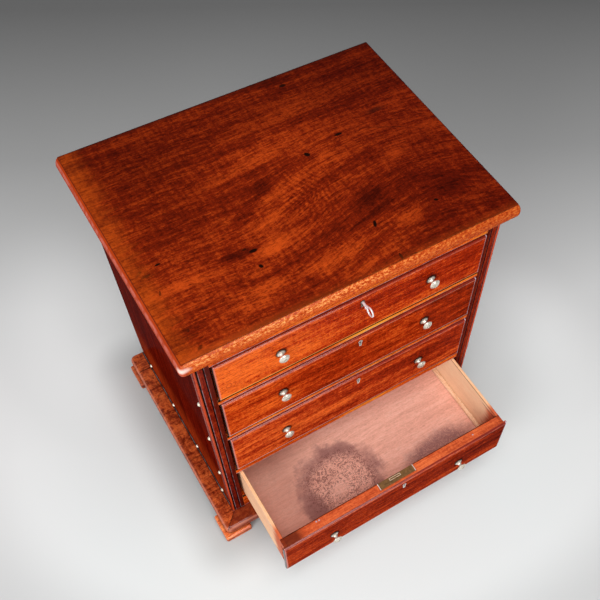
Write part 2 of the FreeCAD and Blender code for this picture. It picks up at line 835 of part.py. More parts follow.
def escutcheon(name, face, z):
    front = face - escutcheon_proud
    depth = escutcheon_depth + escutcheon_proud
    skirt = escutcheon_skirt * 2
    plate = join(name + "_plate", keyhole_tools(
        name + "_outer", keyhole_offset, front, z, escutcheon_radius, skirt,
        escutcheon_length - escutcheon_skirt, depth))
    hole = keyhole_tools(name + "_hole", keyhole_offset, front, z, keyhole_radius, keyhole_slot,
                         keyhole_reach, depth)
    return cut(name, plate, hole)


def lock(name, face, top):
    """A case under a plate, with a room inside for the bolt and the key's bit."""
    front = face + lock_setback
    back = front + lock_depth
    plate_bottom = top - lock_plate_thickness
    case_bottom = plate_bottom - lock_case_height
    plate = span(name + "_plate", (-lock_length / 2, front, plate_bottom), (lock_length / 2, back, top))
    case = span(name + "_case", (-lock_case_length / 2, front, case_bottom),
                (lock_case_length / 2, back, plate_bottom))
    room_half = lock_case_length / 2 - lock_wall * 2
    room = span(name + "_room", (-room_half, front + lock_wall, case_bottom + lock_wall),
                (room_half, back - lock_wall, plate_bottom))
    bolt_slot = span(
        name + "_bolt_slot",
        (bolt_left - bolt_clearance, face + bolt_front - bolt_clearance, plate_bottom),
        (bolt_left + bolt_length + bolt_clearance, back - lock_wall, top))
    keyhole = keyhole_tools(name + "_keyhole", keyhole_offset, front, top - keyhole_drop,
                            keyhole_radius, keyhole_slot, keyhole_reach, lock_wall)
    return cut(name, join(name + "_metal", [plate, case]), [room, bolt_slot] + keyhole)


def bolt(name, face, top):
    return span(name, (bolt_left, face + bolt_front, top - bolt_height),
                (bolt_left + bolt_length, face + bolt_front + bolt_thickness, top))


def key(name, face, z):
    """A round shank with a bit inside the lock and a ring outside."""
    bit_end = face + bolt_front - bolt_clearance * 2
    neck = face - key_projection
    shank = cylinder(name + "_shank", key_shank_radius, bit_end - neck, keyhole_offset, neck, z, "back")
    collar = cylinder(name + "_collar", key_collar_radius, key_collar_length, keyhole_offset,
                      neck + key_collar_length / 2, z, "back")
    ring = doc.addObject("Part::Torus", name + "_ring")
    bind(ring, "Radius1", key_bow_radius)
    bind(ring, "Radius2", key_wire_radius)
    place(ring, keyhole_offset, neck - key_bow_radius, z, turns["right"])
    bit = span(name + "_bit", (keyhole_offset - key_bit_thickness / 2, bit_end - key_bit_length,
                               z - key_bit_reach),
               (keyhole_offset + key_bit_thickness / 2, bit_end, z - key_shank_radius / 2))
    return join(name, [shank, collar, ring, bit])


def slip(name, side, face, floor):
    """A quarter-round strip in the corner of the drawer's side and bottom."""
    body = doc.addObject("PartDesign::Body", name)
    section = new_sketch(body, name + "_section", "XZ_Plane")
    curve = slip_size - slip_nose
    outline(section, [
        (0, 0),
        (slip_size * -side, 0),
        (slip_size * -side, slip_nose, curve * -side),
        (slip_nose * -side, slip_size),
        (0, slip_size),
    ])
    length = drawer_length - drawer_back_setback - drawer_back_thickness - front_thickness
    pad(body, name + "_pad", section, length, reverse=True)
    place(body, side * half_front_body, face + front_thickness, floor + panel_height + panel_thickness)
    return body


def drawer(number, opening_floor, opening, opened):
    """Make the pieces of one drawer and return them."""
    name = "drawer_%d" % number
    height = opening - drawer_gap * 2
    floor = opening_floor + drawer_gap
    face = -front_proud - opened
    with_lock = number in locked_drawers
    knob_z = floor + knob_heights[number - 1]
    knob_places = [("left", -knob_lefts[number - 1], knob_z), ("right", knob_rights[number - 1], knob_z)]
    pieces = [drawer_front(name + "_front", height, face, floor, knob_places, with_lock)]
    for side, word in ((-1, "left"), (1, "right")):
        pieces.append(drawer_side("%s_%s_side" % (name, word), side, height, face, floor))
    for word, x, z in knob_places:
        pieces.append(knob("%s_%s_knob" % (name, word), x, face, z))
    back_end = face + drawer_length - drawer_back_setback
    panel_top = floor + panel_height + panel_thickness
    pieces.append(span(name + "_back", (-half_front_body, back_end - drawer_back_thickness, panel_top),
                       (half_front_body, back_end, floor + height - drawer_back_drop)))
    half_panel = half_front_body + panel_groove - panel_clearance
    pieces.append(span(
        name + "_bottom",
        (-half_panel, face + front_thickness - panel_front_groove + panel_clearance, floor + panel_height),
        (half_panel, face + drawer_length - panel_clearance, panel_top)))
    key_z = floor + height - keyhole_drop
    pieces.append(escutcheon(name + "_escutcheon", face, key_z))
    if with_lock:
        pieces.append(lock(name + "_lock", face, floor + height))
        pieces.append(bolt(name + "_bolt", face, floor + height))
    if number == key_drawer:
        pieces.append(key("key", face, key_z))
    if number == open_drawer:
        pieces.append(slip(name + "_left_slip", -1, face, floor))
        pieces.append(slip(name + "_right_slip", 1, face, floor))
    return pieces


nodes = [top_board, base_board, back_board] + feet + rails + side_boards + stud_rows + pilasters
nodes += runner_sets
for number, (opening_floor, opening) in enumerate(zip(drawer_floors, opening_heights), 1):
    opened = bottom_drawer_open if number == open_drawer else quantity(0)
    nodes += drawer(number, opening_floor, opening, opened)

# Checks and export

doc.recompute()
for thing in doc.Objects:
    troubles = [state for state in thing.State if "Invalid" in state or "Error" in state]
    if troubles:
        raise RuntimeError("%s is in trouble: %s" % (thing.Label, troubles))
for node in nodes:
    if node.Shape.isNull() or not node.Shape.isValid():
        raise RuntimeError("%s has no valid shape" % node.Label)

os.makedirs("parts", exist_ok=True)
for node in nodes:
    node.Shape.exportStep("parts/%s.step" % node.Label)
print("%d parts written" % len(nodes))
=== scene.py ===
import math

import bpy
from mathutils import Matrix, Vector


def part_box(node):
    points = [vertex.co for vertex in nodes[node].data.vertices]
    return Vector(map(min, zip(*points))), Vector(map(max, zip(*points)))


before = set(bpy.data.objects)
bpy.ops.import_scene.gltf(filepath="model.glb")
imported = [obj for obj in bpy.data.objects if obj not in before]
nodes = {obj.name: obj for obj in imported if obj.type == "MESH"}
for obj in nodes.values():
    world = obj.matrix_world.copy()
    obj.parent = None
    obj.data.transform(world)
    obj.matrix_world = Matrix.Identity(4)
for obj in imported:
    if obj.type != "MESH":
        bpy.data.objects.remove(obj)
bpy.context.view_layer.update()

# Chest of four drawers: its finishes, the camera, the floor and the lights.
# Metres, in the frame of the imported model: +X to the chest's right, +Y towards its back, +Z up.
# A colour is (red, green, blue) in linear light, and a share says from 0 to 1 how much of a layer shows.
# A wood's shades are its dark, middle and light colour. A metal's are dull, bright and tarnished.


class Graph:
    """The nodes of one material. Most methods add nodes and return the socket that they end in."""

    def __init__(self, name):
        self.material = bpy.data.materials.new(name)
        self.material.use_nodes = True
        self.tree = self.material.node_tree
        self.tree.nodes.clear()
        self.output = self.tree.nodes.new("ShaderNodeOutputMaterial")
        place = self.tree.nodes.new("ShaderNodeTexCoord")
        self.place = place.outputs["Object"]
        self.x, self.y, self.z = self.split(self.place)
        surface = self.tree.nodes.new("ShaderNodeNewGeometry")
        self.faces_right = self.split(surface.outputs["Normal"])[0]

    def feed(self, socket, value):
        """Link a socket, or set its own number or colour."""
        if isinstance(value, bpy.types.NodeSocket):
            self.tree.links.new(value, socket)
        elif socket.type == "RGBA" and len(value) == 3:
            socket.default_value = (*value, 1.0)
        else:
            socket.default_value = value

    def split(self, vector):
        node = self.tree.nodes.new("ShaderNodeSeparateXYZ")
        self.feed(node.inputs[0], vector)
        return node.outputs[0], node.outputs[1], node.outputs[2]

    def point(self, x, y, z):
        node = self.tree.nodes.new("ShaderNodeCombineXYZ")
        for socket, value in zip(node.inputs, (x, y, z)):
            self.feed(socket, value)
        return node.outputs[0]

    def math(self, operation, *values):
        node = self.tree.nodes.new("ShaderNodeMath")
        node.operation = operation
        for socket, value in zip(node.inputs, values):
            self.feed(socket, value)
        return node.outputs[0]

    def vector_math(self, operation, result, *values):
        node = self.tree.nodes.new("ShaderNodeVectorMath")
        node.operation = operation
        for socket, value in zip(node.inputs, values):
            self.feed(socket, value)
        return node.outputs[result]

    def times(self, first, second):
        return self.math("MULTIPLY", first, second)

    def product(self, *factors):
        """All the factors multiplied. A single one is returned as it is."""
        total = factors[0]
        for factor in factors[1:]:
            total = self.times(total, factor)
        return total

    def plus(self, first, second):
        return self.math("ADD", first, second)

    def minus(self, first, second):
        return self.math("SUBTRACT", first, second)

    def larger(self, first, second):
        return self.math("MAXIMUM", first, second)

    def smaller(self, first, second):
        return self.math("MINIMUM", first, second)

    def size_of(self, value):
        return self.math("ABSOLUTE", value)

    def waves(self, distance, rate):
        """Even waves from -1 to 1 over a distance. The rate is in radians to the metre."""
        return self.math("SINE", self.times(distance, rate))

    def length_of(self, vector):
        return self.vector_math("LENGTH", "Value", vector)

    def from_point(self, centre):
        """The vector from a fixed point to the shaded one."""
        return self.vector_math("SUBTRACT", 0, self.place, centre)

    def past(self, value, place, sign=1.0):
        """How far a coordinate is beyond a place, along +1 or -1."""
        return self.times(self.plus(value, -place), sign)

    def around_zero(self, noise, amount):
        """A noise, which lies round a half, moved to lie round 0 and scaled."""
        return self.times(self.plus(noise, -0.5), amount)

    def fade(self, value, low, high, start=0.0, end=1.0):
        """A smooth step of the value from start, at low, to end, at high."""
        node = self.tree.nodes.new("ShaderNodeMapRange")
        node.interpolation_type = "SMOOTHSTEP"
        for name, amount in zip(("Value", "From Min", "From Max", "To Min", "To Max"),
                                (value, low, high, start, end)):
            self.feed(node.inputs[name], amount)
        return node.outputs[0]

    def below(self, value, low, high, most=1.0):
        """The most where the value is below low, falling smoothly to 0 at high."""
        return self.fade(value, low, high, most, 0.0)

    def line(self, value, middle, half, soft):
        """1 where the value is within half of the middle, fading to 0 over soft."""
        away = self.size_of(self.minus(value, middle))
        return self.below(away, half, half + soft)

    def between(self, value, low, high, soft):
        """1 between low and high, fading to 0 over soft outside them."""
        return self.times(self.fade(value, low - soft, low), self.below(value, high, high + soft))

    def from_sides(self, first, second, low, high):
        """The distance from the nearest side of a rectangle, for a point inside it."""
        across = self.smaller(self.past(first, low[0]), self.past(first, high[0], -1.0))
        along = self.smaller(self.past(second, low[1]), self.past(second, high[1], -1.0))
        return self.smaller(across, along)

    def mix(self, share, first, second, blend="MIX"):
        """Two colours mixed. The node's colour sockets come after its number and vector ones."""
        node = self.tree.nodes.new("ShaderNodeMix")
        node.data_type = "RGBA"
        node.blend_type = blend
        colour_inputs = (0, 6, 7)
        colour_output = 2
        for index, value in zip(colour_inputs, (share, first, second)):
            self.feed(node.inputs[index], value)
        return node.outputs[colour_output]

    def ramp(self, value, *stops):
        """A colour for each value. Each stop is (position, colour)."""
        node = self.tree.nodes.new("ShaderNodeValToRGB")
        elements = node.color_ramp.elements
        for index, (position, colour) in enumerate(stops):
            element = elements[index] if index < len(elements) else elements.new(position)
            element.position = position
            element.color = (*colour, 1.0)
        self.feed(node.inputs[0], value)
        return node.outputs[0]

    def noise(self, vector, detail=4.0, roughness=0.55, distortion=0.0):
        node = self.tree.nodes.new("ShaderNodeTexNoise")
        for name, value in (("Vector", vector), ("Scale", 1.0), ("Detail", detail),
                            ("Roughness", roughness), ("Distortion", distortion)):
            self.feed(node.inputs[name], value)
        return node.outputs[0]

    def even_noise(self, often, shift=(0.0, 0.0, 0.0), **look):
        """Noise that changes equally often in a metre along all three axes."""
        return self.noise(self.scaled(self.place, often, often, often, shift), **look)

    def scaled(self, vector, x, y, z, shift=(0.0, 0.0, 0.0)):
        node = self.tree.nodes.new("ShaderNodeMapping")
        self.feed(node.inputs["Vector"], vector)
        node.inputs["Scale"].default_value = (x, y, z)
        node.inputs["Location"].default_value = shift
        return node.outputs[0]

    def spot(self, centre, radii, turn=0.0, core=0.0):
        """1 in the core of an ellipsoid turned about +Z, fading to 0 at its edge."""
        node = self.tree.nodes.new("ShaderNodeMapping")
        node.vector_type = "TEXTURE"
        self.feed(node.inputs["Vector"], self.place)
        node.inputs["Location"].default_value = centre
        node.inputs["Rotation"].default_value = (0.0, 0.0, turn)
        node.inputs["Scale"].default_value = radii
        return self.below(self.length_of(node.outputs[0]), core, 1.0)

    def worn_edge(self, radius):
        """How sharp an edge is near by, from 0 to 1, and the normal rounded over this radius."""
        bevel = self.tree.nodes.new("ShaderNodeBevel")
        bevel.samples = 4
        bevel.inputs["Radius"].default_value = radius
        true = self.tree.nodes.new("ShaderNodeNewGeometry")
        cosine = self.vector_math("DOT_PRODUCT", "Value", bevel.outputs[0], true.outputs["Normal"])
        at_an_edge = 0.86
        in_the_open = 0.995
        return self.below(cosine, at_an_edge, in_the_open), bevel.outputs[0]

    def facing(self):
        """0 where the surface is seen straight on, 1 where it is seen edgewise."""
        node = self.tree.nodes.new("ShaderNodeLayerWeight")
        node.inputs["Blend"].default_value = 0.5
        return node.outputs["Facing"]

    def crevice(self, distance):
        """1 in tight corners, 0 in the open."""
        node = self.tree.nodes.new("ShaderNodeAmbientOcclusion")
        node.samples = 6
        node.inputs["Distance"].default_value = distance
        in_a_corner = 0.25
        in_the_open = 0.85
        return self.below(node.outputs["AO"], in_a_corner, in_the_open)

    def bump(self, height, distance, strength, normal):
        node = self.tree.nodes.new("ShaderNodeBump")
        node.inputs["Strength"].default_value = strength
        node.inputs["Distance"].default_value = distance
        self.feed(node.inputs["Height"], height)
        self.feed(node.inputs["Normal"], normal)
        return node.outputs[0]

    def shade(self, **values):
        """Close the graph with a principled shader and return the material."""
        shader = self.tree.nodes.new("ShaderNodeBsdfPrincipled")
        for name, value in values.items():
            self.feed(shader.inputs[name.replace("_", " ")], value)
        self.tree.links.new(shader.outputs[0], self.output.inputs["Surface"])
        return self.material


def dress(name, material):
    """Put the material on the whole of a node's mesh."""
    mesh = nodes[name].data
    mesh.materials.clear()
    mesh.materials.append(material)


# Colours that several finishes share
# Black for dirt, dark joints and splits, and for painted shade in gaps, grooves and corners
black_dirt_and_shade = (0.012, 0.003, 0.002)
# Dark for a smudge on the top, and for painted shade round the knobs
dark_smudge_and_shade = (0.03, 0.004, 0.002)
# Pale for lines of polish, and for painted highlights on rounded edges
pale_polish_and_highlight = (0.62, 0.52, 0.62)


class Wood:
    """One wood on a graph: figure, streaks, fibres, mottle and pores along one axis."""

    # The range of the layers' sum, on either side of 0, that the shades are spread over
    tone_reach = 0.19
    # What the short dark ticks multiply the colour by
    tick_tint = (0.45, 0.34, 0.30)
    # The rounding of worn edges, the reach of dirt and painted shade into corners and the depth of the
    # grain's relief
    edge_radius = 0.0009
    dirt_and_shade_reach = 0.003
    relief = 0.00006
    # The share of the coat that is left where the surface is seen edgewise
    coat_edgewise = 0.06

    def __init__(self, name, grain, shades, seed, bend=0.006, contrast=1.0, ripple=0.0,
                 swirl=None, lift=None, ticks=0.5):
        """grain is the axis that the grain runs along, and bend how many metres it wanders at most.

        ripple is the strength of bars across the grain, and ticks that of short dark dashes along it. swirl
        bends the grain in one place, and lift makes parts of the wood lighter or darker.
        """
        dark, middle, light = shades
        graph = self.graph = Graph(name)
        axes = {"x": (graph.x, graph.y, graph.z), "y": (graph.y, graph.x, graph.z),
                "z": (graph.z, graph.x, graph.y)}
        along, across, through = axes[grain]
        self.shift = (seed, seed * 1.7, seed * 0.6)
        plain = graph.point(along, across, through)
        slow = graph.noise(graph.scaled(plain, 5.0, 9.0, 9.0, self.shift), detail=2.0)
        wander = graph.around_zero(slow, bend)
        if swirl:
            across = graph.plus(across, swirl(graph))
        self.bent = graph.point(along, graph.plus(across, wander), graph.plus(through, wander))
        self.figure = self.grain(5.0, 38.0, detail=3.0, distortion=0.5)
        self.streaks = self.grain(13.0, 170.0, detail=4.0)
        self.fibres = self.grain(110.0, 1000.0, detail=2.0, roughness=0.7)
        self.mottle = graph.noise(graph.scaled(plain, 400.0, 400.0, 400.0, self.shift), detail=4.0,
                                  roughness=0.7, distortion=0.6)
        self.pores = graph.fade(self.grain(150.0, 900.0, detail=1.0), 0.58, 0.70)
        fine = self.grain(55.0, 430.0, detail=3.0)
        bars = graph.noise(graph.scaled(self.bent, 240.0, 42.0, 42.0, self.shift), detail=2.0)
        layers = ((self.figure, 0.42), (self.streaks, 0.36), (fine, 0.34), (self.fibres, 0.22),
                  (self.mottle, 0.42), (bars, ripple))
        tone = -0.5 * sum(weight for layer, weight in layers)
        for layer, weight in layers:
            tone = graph.plus(graph.times(layer, weight), tone)
        if lift:
            tone = graph.plus(tone, lift(self))
        reach = self.tone_reach / contrast
        self.tone = graph.fade(tone, -reach, reach)
        self.colour = graph.ramp(self.tone, (0.0, dark), (0.5, middle), (1.0, light))
        self.paint(dark, self.pores, 0.45)
        dashes = graph.fade(self.grain(105.0, 400.0, detail=2.0, roughness=0.7), 0.50, 0.66)
        self.deepen(self.tick_tint, dashes, ticks)
        self.polished = None

    def grain(self, along, across, detail, roughness=0.6, distortion=0.0):
        """Noise stretched along the grain: how often it changes in a metre along and across."""
        vector = self.graph.scaled(self.bent, along, across, across, self.shift)
        return self.graph.noise(vector, detail=detail, roughness=roughness, distortion=distortion)

    def paint(self, colour, *shares):
        """Lay a colour over the wood, by the product of the shares."""
        self.colour = self.graph.mix(self.graph.product(*shares), self.colour, colour)

    def deepen(self, tint, *shares):
        """Multiply the colour by a tint, by the product of the shares."""
        self.colour = self.graph.mix(self.graph.product(*shares), self.colour, tint, "MULTIPLY")

    def polish(self, share):
        """Where the hand and the cloth have left a brighter polish."""
        self.polished = share if self.polished is None else self.graph.larger(self.polished, share)

    def broken(self, often, *shares):
        """Break a line up, so that it isn't equally strong all along."""
        graph = self.graph
        gaps = graph.even_noise(often, self.shift, detail=3.0)
        return graph.times(graph.product(*shares), graph.fade(gaps, 0.38, 0.6, 0.25, 1.0))

    def finish(self, roughness=0.16, coat=0.30, specular=0.0, edge_colour=None, grime_and_shade=0.75,
               coat_roughness=0.1, bump=0.3):
        """Add worn edges, dirt and painted shade in corners, relief and polish, and return the material."""
        graph = self.graph
        worn, rounded = graph.worn_edge(self.edge_radius)
        if edge_colour:
            self.paint(edge_colour, worn, 0.5)
        # Dirt and painted shade darken the corners.
        self.paint(black_dirt_and_shade, graph.crevice(self.dirt_and_shade_reach), grime_and_shade)
        smears = graph.even_noise(22.0, detail=3.0, roughness=0.6)
        smeared = graph.fade(smears, 0.3, 0.75, roughness * 0.75, roughness * 1.5)
        height = graph.plus(graph.times(self.fibres, 0.4), graph.times(self.pores, -0.6))
        normal = graph.bump(height, distance=self.relief, strength=bump, normal=rounded)
        # The coat thins out where the surface is seen edgewise, so that no white haze lies on dark wood.
        weight = graph.fade(graph.facing(), 0.35, 0.55, coat, coat * self.coat_edgewise)
        if self.polished is not None:
            weight = graph.plus(graph.times(self.polished, 0.9), weight)
        return graph.shade(Base_Color=self.colour, Roughness=smeared, Specular_IOR_Level=specular,
                           Coat_Weight=weight, Coat_Roughness=coat_roughness, Normal=normal,
                           Coat_Normal=rounded)


# Top board
slab_low, slab_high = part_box("top_board")
slab_top = slab_high.z
top_shades = ((0.054, 0.0030, 0.0005), (0.205, 0.0138, 0.0016), (0.550, 0.0660, 0.0066))
ink = (0.010, 0.002, 0.001)

# Patches of the top's figure: x, y, half length, half width, turn in degrees, how much lighter or darker
top_patches = [
    (0.000, 0.105, 0.060, 0.034, 0, 0.06),
    (0.052, 0.075, 0.026, 0.020, 20, 0.08),
    (0.105, 0.085, 0.030, 0.016, -25, 0.06),
    (0.005, 0.060, 0.036, 0.036, 0, 0.03),
    (0.122, 0.037, 0.026, 0.014, 10, 0.14),
    (-0.045, 0.014, 0.036, 0.018, 14, 0.09),
    (-0.050, -0.012, 0.030, 0.016, 22, 0.17),
    (-0.145, -0.010, 0.050, 0.016, 0, 0.13),
    (0.082, -0.048, 0.026, 0.014, 10, 0.14),
    (-0.010, -0.058, 0.060, 0.018, 4, 0.16),
    (-0.090, -0.058, 0.040, 0.018, 0, 0.12),
    (-0.135, -0.055, 0.050, 0.014, 0, 0.06),
    (-0.090, -0.005, 0.022, 0.012, 0, -0.20),
    (-0.060, 0.036, 0.030, 0.012, 24, -0.13),
    (-0.028, 0.058, 0.020, 0.014, 30, -0.12),
    (0.062, -0.006, 0.032, 0.016, 12, -0.18),
    (-0.045, -0.038, 0.034, 0.009, 12, -0.08),
    (0.060, -0.026, 0.040, 0.010, 12, -0.08),
    (0.140, -0.035, 0.040, 0.026, 0, -0.12),
    (-0.125, 0.060, 0.060, 0.030, 0, -0.05),
    (0.060, 0.195, 0.030, 0.020, 0, -0.12),
    (-0.060, -0.088, 0.100, 0.006, 0, -0.12),
]

# Dents, ink spots and a scratch: x, y, length, width, turn in degrees, share
top_marks = [
    (-0.1778, 0.0211, 0.007, 0.0028, 40, 1.0),
    (-0.1736, 0.0150, 0.009, 0.0030, 0, 1.0),
    (-0.1582, 0.0226, 0.006, 0.0022, 0, 1.0),
    (-0.1705, -0.0096, 0.006, 0.0020, 70, 0.8),
    (-0.0795, -0.0023, 0.005, 0.0025, 0, 0.8),
    (-0.0726, -0.0081, 0.009, 0.0036, 0, 1.0),
    (-0.0749, -0.0284, 0.005, 0.0034, -60, 1.0),
    (0.0367, 0.0779, 0.007, 0.0045, -50, 1.0),
    (0.0808, 0.0875, 0.009, 0.0030, 0, 1.0),
    (0.0472, -0.0384, 0.009, 0.0030, 65, 1.0),
    (0.1183, -0.0423, 0.005, 0.0026, -30, 1.0),
    (0.0472, -0.0860, 0.009, 0.0024, 85, 0.9),
    (0.0614, -0.0905, 0.004, 0.0030, 80, 1.0),
    (0.0664, 0.1843, 0.008, 0.0040, 0, 0.9),
    (-0.1662, -0.0600, 0.004, 0.0024, 60, 0.7),
    (-0.1650, -0.0820, 0.006, 0.0028, 30, 0.7),
    (0.0060, -0.0905, 0.004, 0.0024, 0, 0.8),
    (-0.0950, -0.0900, 0.005, 0.0020, 10, 0.8),
    (0.1300, 0.0720, 0.050, 0.0010, -28, 0.5),
]


def on_slab(graph, x, y, half_length, half_width, degrees=0.0, core=0.0, depth=0.1):
    """A soft ellipse on the top board's upper face."""
    return graph.spot((x, y, slab_top), (half_length, half_width, depth), math.radians(degrees), core)


def top_swirl(graph):
    """Bend the grain of the top board: it climbs towards the back in the middle."""
    window = on_slab(graph, 0.045, 0.01, 0.22, 0.15, depth=0.2)
    return graph.product(window, graph.plus(graph.x, 0.06), -0.24)


def top_lift(wood):
    """Lighter and darker patches of the top board's figure, with fine arcs round its middle."""
    graph = wood.graph
    away = graph.length_of(graph.from_point((-0.040, 0.028, slab_top)))
    uneven = graph.plus(away, graph.times(wood.figure, 0.025))
    arcs = graph.waves(uneven, 1150.0)
    total = graph.product(arcs, 0.055, on_slab(graph, 0.012, 0.034, 0.050, 0.060))
    for x, y, half_length, half_width, degrees, amount in top_patches:
        patch = on_slab(graph, x, y, half_length, half_width, degrees)
        total = graph.plus(total, graph.times(patch, amount))
    return total


def dress_top():
    """The top board: marked upper face with painted shade, worn moulding with a gold painted highlight along
    the front.
    """
    top = Wood("top_polished_mahogany", "x", top_shades, seed=3.0, bend=0.022, contrast=0.66, ripple=0.22,
               swirl=top_swirl, lift=top_lift, ticks=0.60)
    graph = top.graph
    from_front = graph.past(graph.y, slab_low.y)
    from_left = graph.past(graph.x, slab_low.x)
    inset = graph.from_sides(graph.x, graph.y, slab_low, slab_high)

    # Painted shade: the top darker towards the back, the right and the rear left, and along its back edge.
    back_shade = graph.fade(graph.y, 0.105, 0.160)
    right_shade = graph.fade(graph.x, 0.030, 0.135)
    rear_left_shade = on_slab(graph, -0.120, 0.110, 0.10, 0.13, depth=0.2)
    back_edge_shade = graph.fade(graph.y, 0.196, 0.204)
    smudge = on_slab(graph, 0.135, 0.100, 0.017, 0.0055)
    top.deepen((0.66, 0.58, 0.55), back_shade)
    top.deepen((0.64, 0.52, 0.55), right_shade)
    top.deepen((0.62, 0.55, 0.50), rear_left_shade, 0.8)
    top.paint((0.05, 0.006, 0.002), back_edge_shade, 0.7)
    top.paint(dark_smudge_and_shade, smudge, 0.8)
    # A mark fades out past its measured outline, so its ellipse reaches beyond half the length and width.
    length_reach = 0.62
    width_reach = 0.72
    for x, y, length, width, degrees, share in top_marks:
        mark = on_slab(graph, x, y, length_reach * length, width_reach * width, degrees, core=0.6)
        top.paint(ink, mark, share)

    edge_band = graph.below(inset, 0.0036, 0.0056)
    near_front = graph.below(from_front, 0.004, 0.007)
    near_left = graph.below(from_left, 0.004, 0.010)
    left_strip = graph.below(graph.plus(from_left, graph.around_zero(top.streaks, 0.045)), 0.004, 0.032)
    strip_wood = graph.ramp(top.tone, (0.1, (0.15, 0.015, 0.002)), (0.7, (0.46, 0.066, 0.005)))
    top.paint(strip_wood, left_strip, 0.75)

    speckle = graph.noise(graph.scaled(graph.place, 300.0, 520.0, 520.0), detail=5.0, roughness=0.75)
    front_wood = graph.ramp(speckle, (0.32, (0.18, 0.014, 0.002)), (0.50, (0.58, 0.072, 0.008)),
                            (0.64, (0.92, 0.24, 0.030)))
    # A painted gold highlight along the moulding, stronger on the left.
    gold_highlight_line = graph.line(graph.z, slab_top - 0.0042, 0.0018, 0.0022)
    more_on_the_left = graph.fade(graph.x, -0.10, 0.14, 0.70, 0.10)
    gold_highlight = graph.product(gold_highlight_line, graph.fade(speckle, 0.46, 0.64), more_on_the_left)
    front_wood = graph.mix(gold_highlight, front_wood, (1.0, 0.58, 0.20))
    top.paint(front_wood, near_front, edge_band, graph.fade(graph.x, -0.05, 0.19, 1.0, 0.70))
    # Painted light: a lighter orange zone just behind the moulding, strongest on the left.
    painted_light_behind_band = graph.below(from_front, 0.006, 0.014)
    top.paint((0.52, 0.080, 0.010), painted_light_behind_band, graph.fade(graph.x, -0.17, 0.0, 0.40, 0.12))

    top.paint((0.42, 0.040, 0.005), near_left, edge_band, 0.75)
    # A painted pink highlight along the outer rim of the left moulding.
    rim = graph.line(inset, 0.0012, 0.0004, 0.0009)
    top.paint((0.62, 0.16, 0.12), top.broken(160.0, rim, near_left, 0.7))
    # Painted shade in the quirk of the moulding.
    quirk_shade = graph.line(inset, 0.0044, 0.0002, 0.0005)
    top.paint(black_dirt_and_shade, quirk_shade, 0.6)
    # Painted shade on the lower part of the moulding, near the underside.
    underside_shade = graph.below(graph.past(graph.z, slab_low.z), 0.0, 0.0035)
    top.deepen((0.55, 0.40, 0.30), underside_shade, edge_band)
    corner_glint = graph.spot((slab_low.x + 0.004, slab_low.y + 0.003, slab_top - 0.0065),
                              (0.011, 0.007, 0.0038), core=0.2)
    top.paint((1.0, 0.80, 0.70), corner_glint, 0.75)
    top.polish(graph.times(edge_band, 0.14))
    dress("top_board", top.finish(roughness=0.2, coat=0.12, coat_roughness=0.16))


# Drawer fronts
front_shades = {
    1: ((0.15, 0.006, 0.0012), (0.47, 0.031, 0.0038), (0.94, 0.160, 0.020)),
    2: ((0.10, 0.006, 0.001), (0.43, 0.030, 0.0036), (0.86, 0.130, 0.015)),
    3: ((0.11, 0.006, 0.002), (0.46, 0.034, 0.006), (0.92, 0.155, 0.024)),
    4: ((0.09, 0.005, 0.002), (0.31, 0.023, 0.005), (0.68, 0.085, 0.015)),
}


